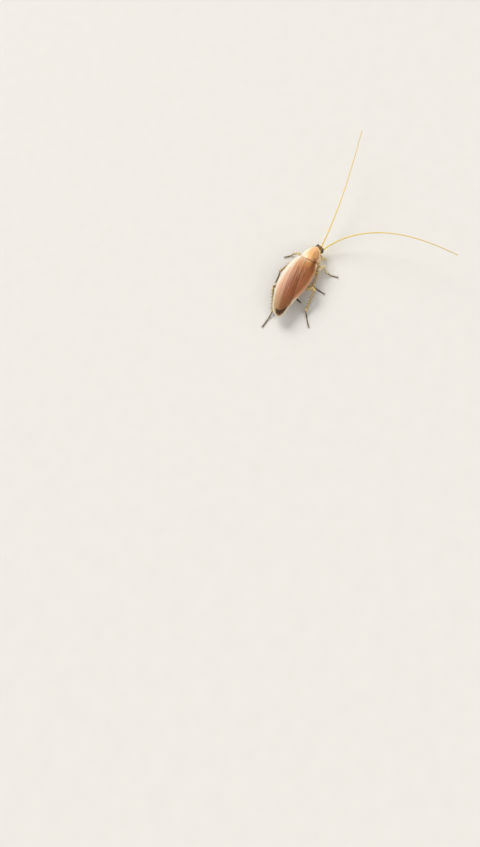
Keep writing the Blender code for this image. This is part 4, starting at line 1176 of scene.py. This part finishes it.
def make_tibia(name, knee, ankle, sizes, material, pale):
    """A slim shaft that widens to the ankle, with rows of strong movable spines in small dark sockets."""
    shin, count, length = sizes
    above = above_for(knee, ankle)
    axis = unit(ankle - knee)
    side, up = side_and_up(axis, above)
    pile = Pile()
    t = eased(70, 0.3)
    path = knee + (ankle - knee + 0.06 * axis)[None] * t[:, None]
    radius = shin * curve(TIBIA_WIDTHS, t) * round_ends(t, 0.04, 0.04)
    index = np.arange(count)
    share = 0.10 + 0.80 * (index + 0.5) / count
    spots = sum(bell(t, at, 0.02) for at in share)
    dark = 0.45 * spots + 0.5 * fade(0.93, 1.0, t) + 0.4 * fade(0.08, 0.0, t)
    marks = marked(held(dark) * (1 - 0.6 * pale), pale + 0.15 * (1 - pale))
    pile.limb(path, radius, 24, marks[:, None], radius * 1.1, above)
    around = np.radians(np.array(SPINE_ROWS)[index % 4] + 14 * (scatter(index, 7) - 0.5))
    out = spokes(around, side, up)
    base = at_shares(path, t, share)
    reach = length * (0.78 + 0.4 * scatter(index, 9))
    root = base + out * shin * 0.62
    tip = root + unit(out * 0.85 + axis * 0.75) * reach[:, None]
    pile.spikes(root, over_floor(tip), 0.030, 7, 0.03, 0.85)
    cuff = base + out * shin * 0.86
    pile.spikes(cuff - out * 0.06, cuff + out * 0.07, 0.055, 8, 0.0, 0.8)
    out = spokes(np.radians(np.array(SPUR_ROWS)), side, up)
    root = path[-4] + out * shin * 0.7
    tip = root + unit(out * 0.7 + axis) * (0.62 * length)
    pile.spikes(root, over_floor(tip), 0.032, 7, 0.0, 0.85)
    pile.hairs(path, radius, 22, 5, 0.10, 0.0055, 1.2, 81, 0.55, above)
    pile.piece("tibia_" + name, material, "leg", "tibia_" + name)


def ball(middle, ahead, aside, level, rise):
    """Rings of a small ball, top to bottom: half axes ahead and aside on the level, and rise upwards."""
    c, s = circle(14)
    dip = np.linspace(0, np.pi, 9)[:, None]
    points = middle + (np.sin(dip) * c)[..., None] * ahead + (np.sin(dip) * s)[..., None] * aside
    points[..., 2] = level + rise * np.cos(dip)
    return points


def make_tarsus(name, ankle, toe, material, pale):
    """Five joints that step down to the floor: a long one, three short ones with pads, the claw joint."""
    flat = toe - ankle
    flat[2] = 0.0
    heading = unit(flat)
    side = np.cross(heading, UP)
    shares = np.array(FOOT_SHARES)
    places = ankle + flat * shares[:, None]
    places[:, 2] = FOOT_LEVEL + (ankle[2] - FOOT_LEVEL) * held(1 - shares / 0.5) ** 1.4
    places[-1, 2] = 0.13
    pile = Pile()
    for k, (one, two) in enumerate(zip(places, places[1:])):
        t = eased(22, 0.4)
        line = one + (two - one + 0.02 * heading) * t[:, None]
        if k == 0:
            line = course([one, one + (two - one) * 0.5 + [0, 0, -0.04], two], t)
        radius = FOOT_WIDTHS[k] * curve(FOOT_SWELL, t) * round_ends(t, 0.08, 0.10)
        pile.limb(line, radius, 18, (0.95 - 0.5 * pale, 0.4 * pale, 0, 0))
        pile.hairs(line, radius, 7, 6, 0.08, 0.005, 1.0, 90 + k, 0.9)
        if 0 < k < 4:
            pad = ball(two - 0.04 * heading, 0.055 * heading, 0.05 * side, 0.035, 0.032)
            pile.tube(pad, (0.1, 0.8, 0, 0))
    end = places[-1]
    t = eased(18, 0.3)
    radius = (0.034 * (1 - t) ** 0.6 + 0.004) * round_ends(t, 0.05, 0.05)
    for sign in SIDES.values():
        claw = course([end + a * heading + sign * b * side + [0, 0, rise] for a, b, rise in CLAW], t)
        pile.limb(claw, radius, 10, (1, 0, 0, 0))
    pile.tube(ball(end + 0.12 * heading, 0.08 * heading, 0.055 * side, 0.075, 0.045), (0.2, 0.7, 0, 0))
    pile.piece("tarsus_" + name, material, "foot", "tarsus_" + name)


def make_leg(name, leg_material, foot_material):
    pair = name.split("_")[0]
    thigh, *shin_sizes = LEG_SIZES[pair]
    root, hip, knee, ankle = (np.array(point) for point in LEGS[name])
    toe = np.array([*TOES[name], 0.10])
    pale = 0.75 if pair == "front" else 0.0
    make_coxa(name, root, hip, leg_material, pale)
    make_femur(name, hip, knee, thigh, leg_material, pale)
    make_tibia(name, knee, ankle, shin_sizes, leg_material, pale)
    make_tarsus(name, ankle, toe, foot_material, pale)


# Stage


def make_floor(material):
    """A wide flat sheet that reaches past every view."""
    corners = [(x * FLOOR_HALF, y * FLOOR_HALF, 0) for x, y in ((-1, -1), (1, -1), (1, 1), (-1, 1))]
    mesh = bpy.data.meshes.new("floor")
    mesh.from_pydata(corners, [], [(0, 1, 2, 3)])
    mesh.materials.append(material)
    floor = bpy.data.objects.new("floor", mesh)
    bpy.context.scene.collection.objects.link(floor)


def make_lights():
    """Three broad suns that light the floor evenly, from the front left, the right rear and behind.

    The world is a pale room.
    """
    for name, (offset, breadth, strength, colour) in LIGHTS.items():
        light = bpy.data.lights.new(name, "SUN")
        light.angle = math.radians(breadth)
        light.energy = strength
        light.color = colour
        lamp = bpy.data.objects.new(name, light)
        lamp.location = Vector(place(LIT_POINT)) + Vector(offset)
        lamp.rotation_euler = (-Vector(offset)).to_track_quat("-Z", "Y").to_euler()
        bpy.context.scene.collection.objects.link(lamp)
    world = bpy.data.worlds.new("room")
    world.use_nodes = True
    background = world.node_tree.nodes["Background"]
    background.inputs["Color"].default_value = ROOM_COLOUR
    background.inputs["Strength"].default_value = ROOM_STRENGTH
    bpy.context.scene.world = world
    bpy.context.scene.view_settings.view_transform = "Standard"


def basis(forward, up):
    """A turned frame: its first axis forward, its second level with respect to up."""
    level = forward.cross(Vector(up)).normalized()
    return Matrix((forward, level, forward.cross(level))).transposed()


def make_camera():
    """Puts the sight point at its pixel, with z upright there.

    The ray of that pixel is turned onto the line of sight.
    """
    turn, rise = math.radians(SIGHT_TURN), math.radians(SIGHT_HEIGHT)
    back = Vector((-math.cos(rise) * math.cos(turn), -math.cos(rise) * math.sin(turn), math.sin(rise)))
    focal = LENS / SENSOR * FRAME_HEIGHT
    right = (SIGHT_PIXEL[0] - FRAME_WIDTH / 2) / focal
    above = (FRAME_HEIGHT / 2 - SIGHT_PIXEL[1]) / focal
    ray = Vector((right, above, -1.0)).normalized()
    turned_onto = basis(-back, UP) @ basis(ray, (0, 1, 0)).transposed()
    camera = bpy.data.cameras.new("camera")
    camera.lens = LENS
    camera.sensor_width = SENSOR
    camera.clip_start = 0.001
    camera.clip_end = 5.0
    stand = bpy.data.objects.new("camera", camera)
    stand.rotation_mode = "QUATERNION"
    stand.rotation_quaternion = turned_onto.to_quaternion()
    stand.location = Vector(place(SIGHT_POINT)) + back * SIGHT_DISTANCE * MM
    bpy.context.scene.collection.objects.link(stand)
    bpy.context.scene.camera = stand


def main():
    wing = make_wing_finish()
    shells = {part: make_shell_finish(part + "_skin", *settings) for part, settings in SHELLS.items()}
    for side in SIDES:
        make_wing(side, wing)
    make_hind_wings(wing)
    make_shield(shells["shield"])
    make_thorax(shells["thorax"])
    make_abdomen(shells["belly"])
    make_cerci(shells["cercus"])
    make_head(shells["face"])
    make_eyes(make_eye_finish())
    make_mouth(shells["face"], shells["feeler"])
    make_feelers(shells["feeler"])
    for name in LEGS:
        make_leg(name, shells["leg"], shells["foot"])
    make_floor(make_floor_finish())
    make_lights()
    make_camera()


main()
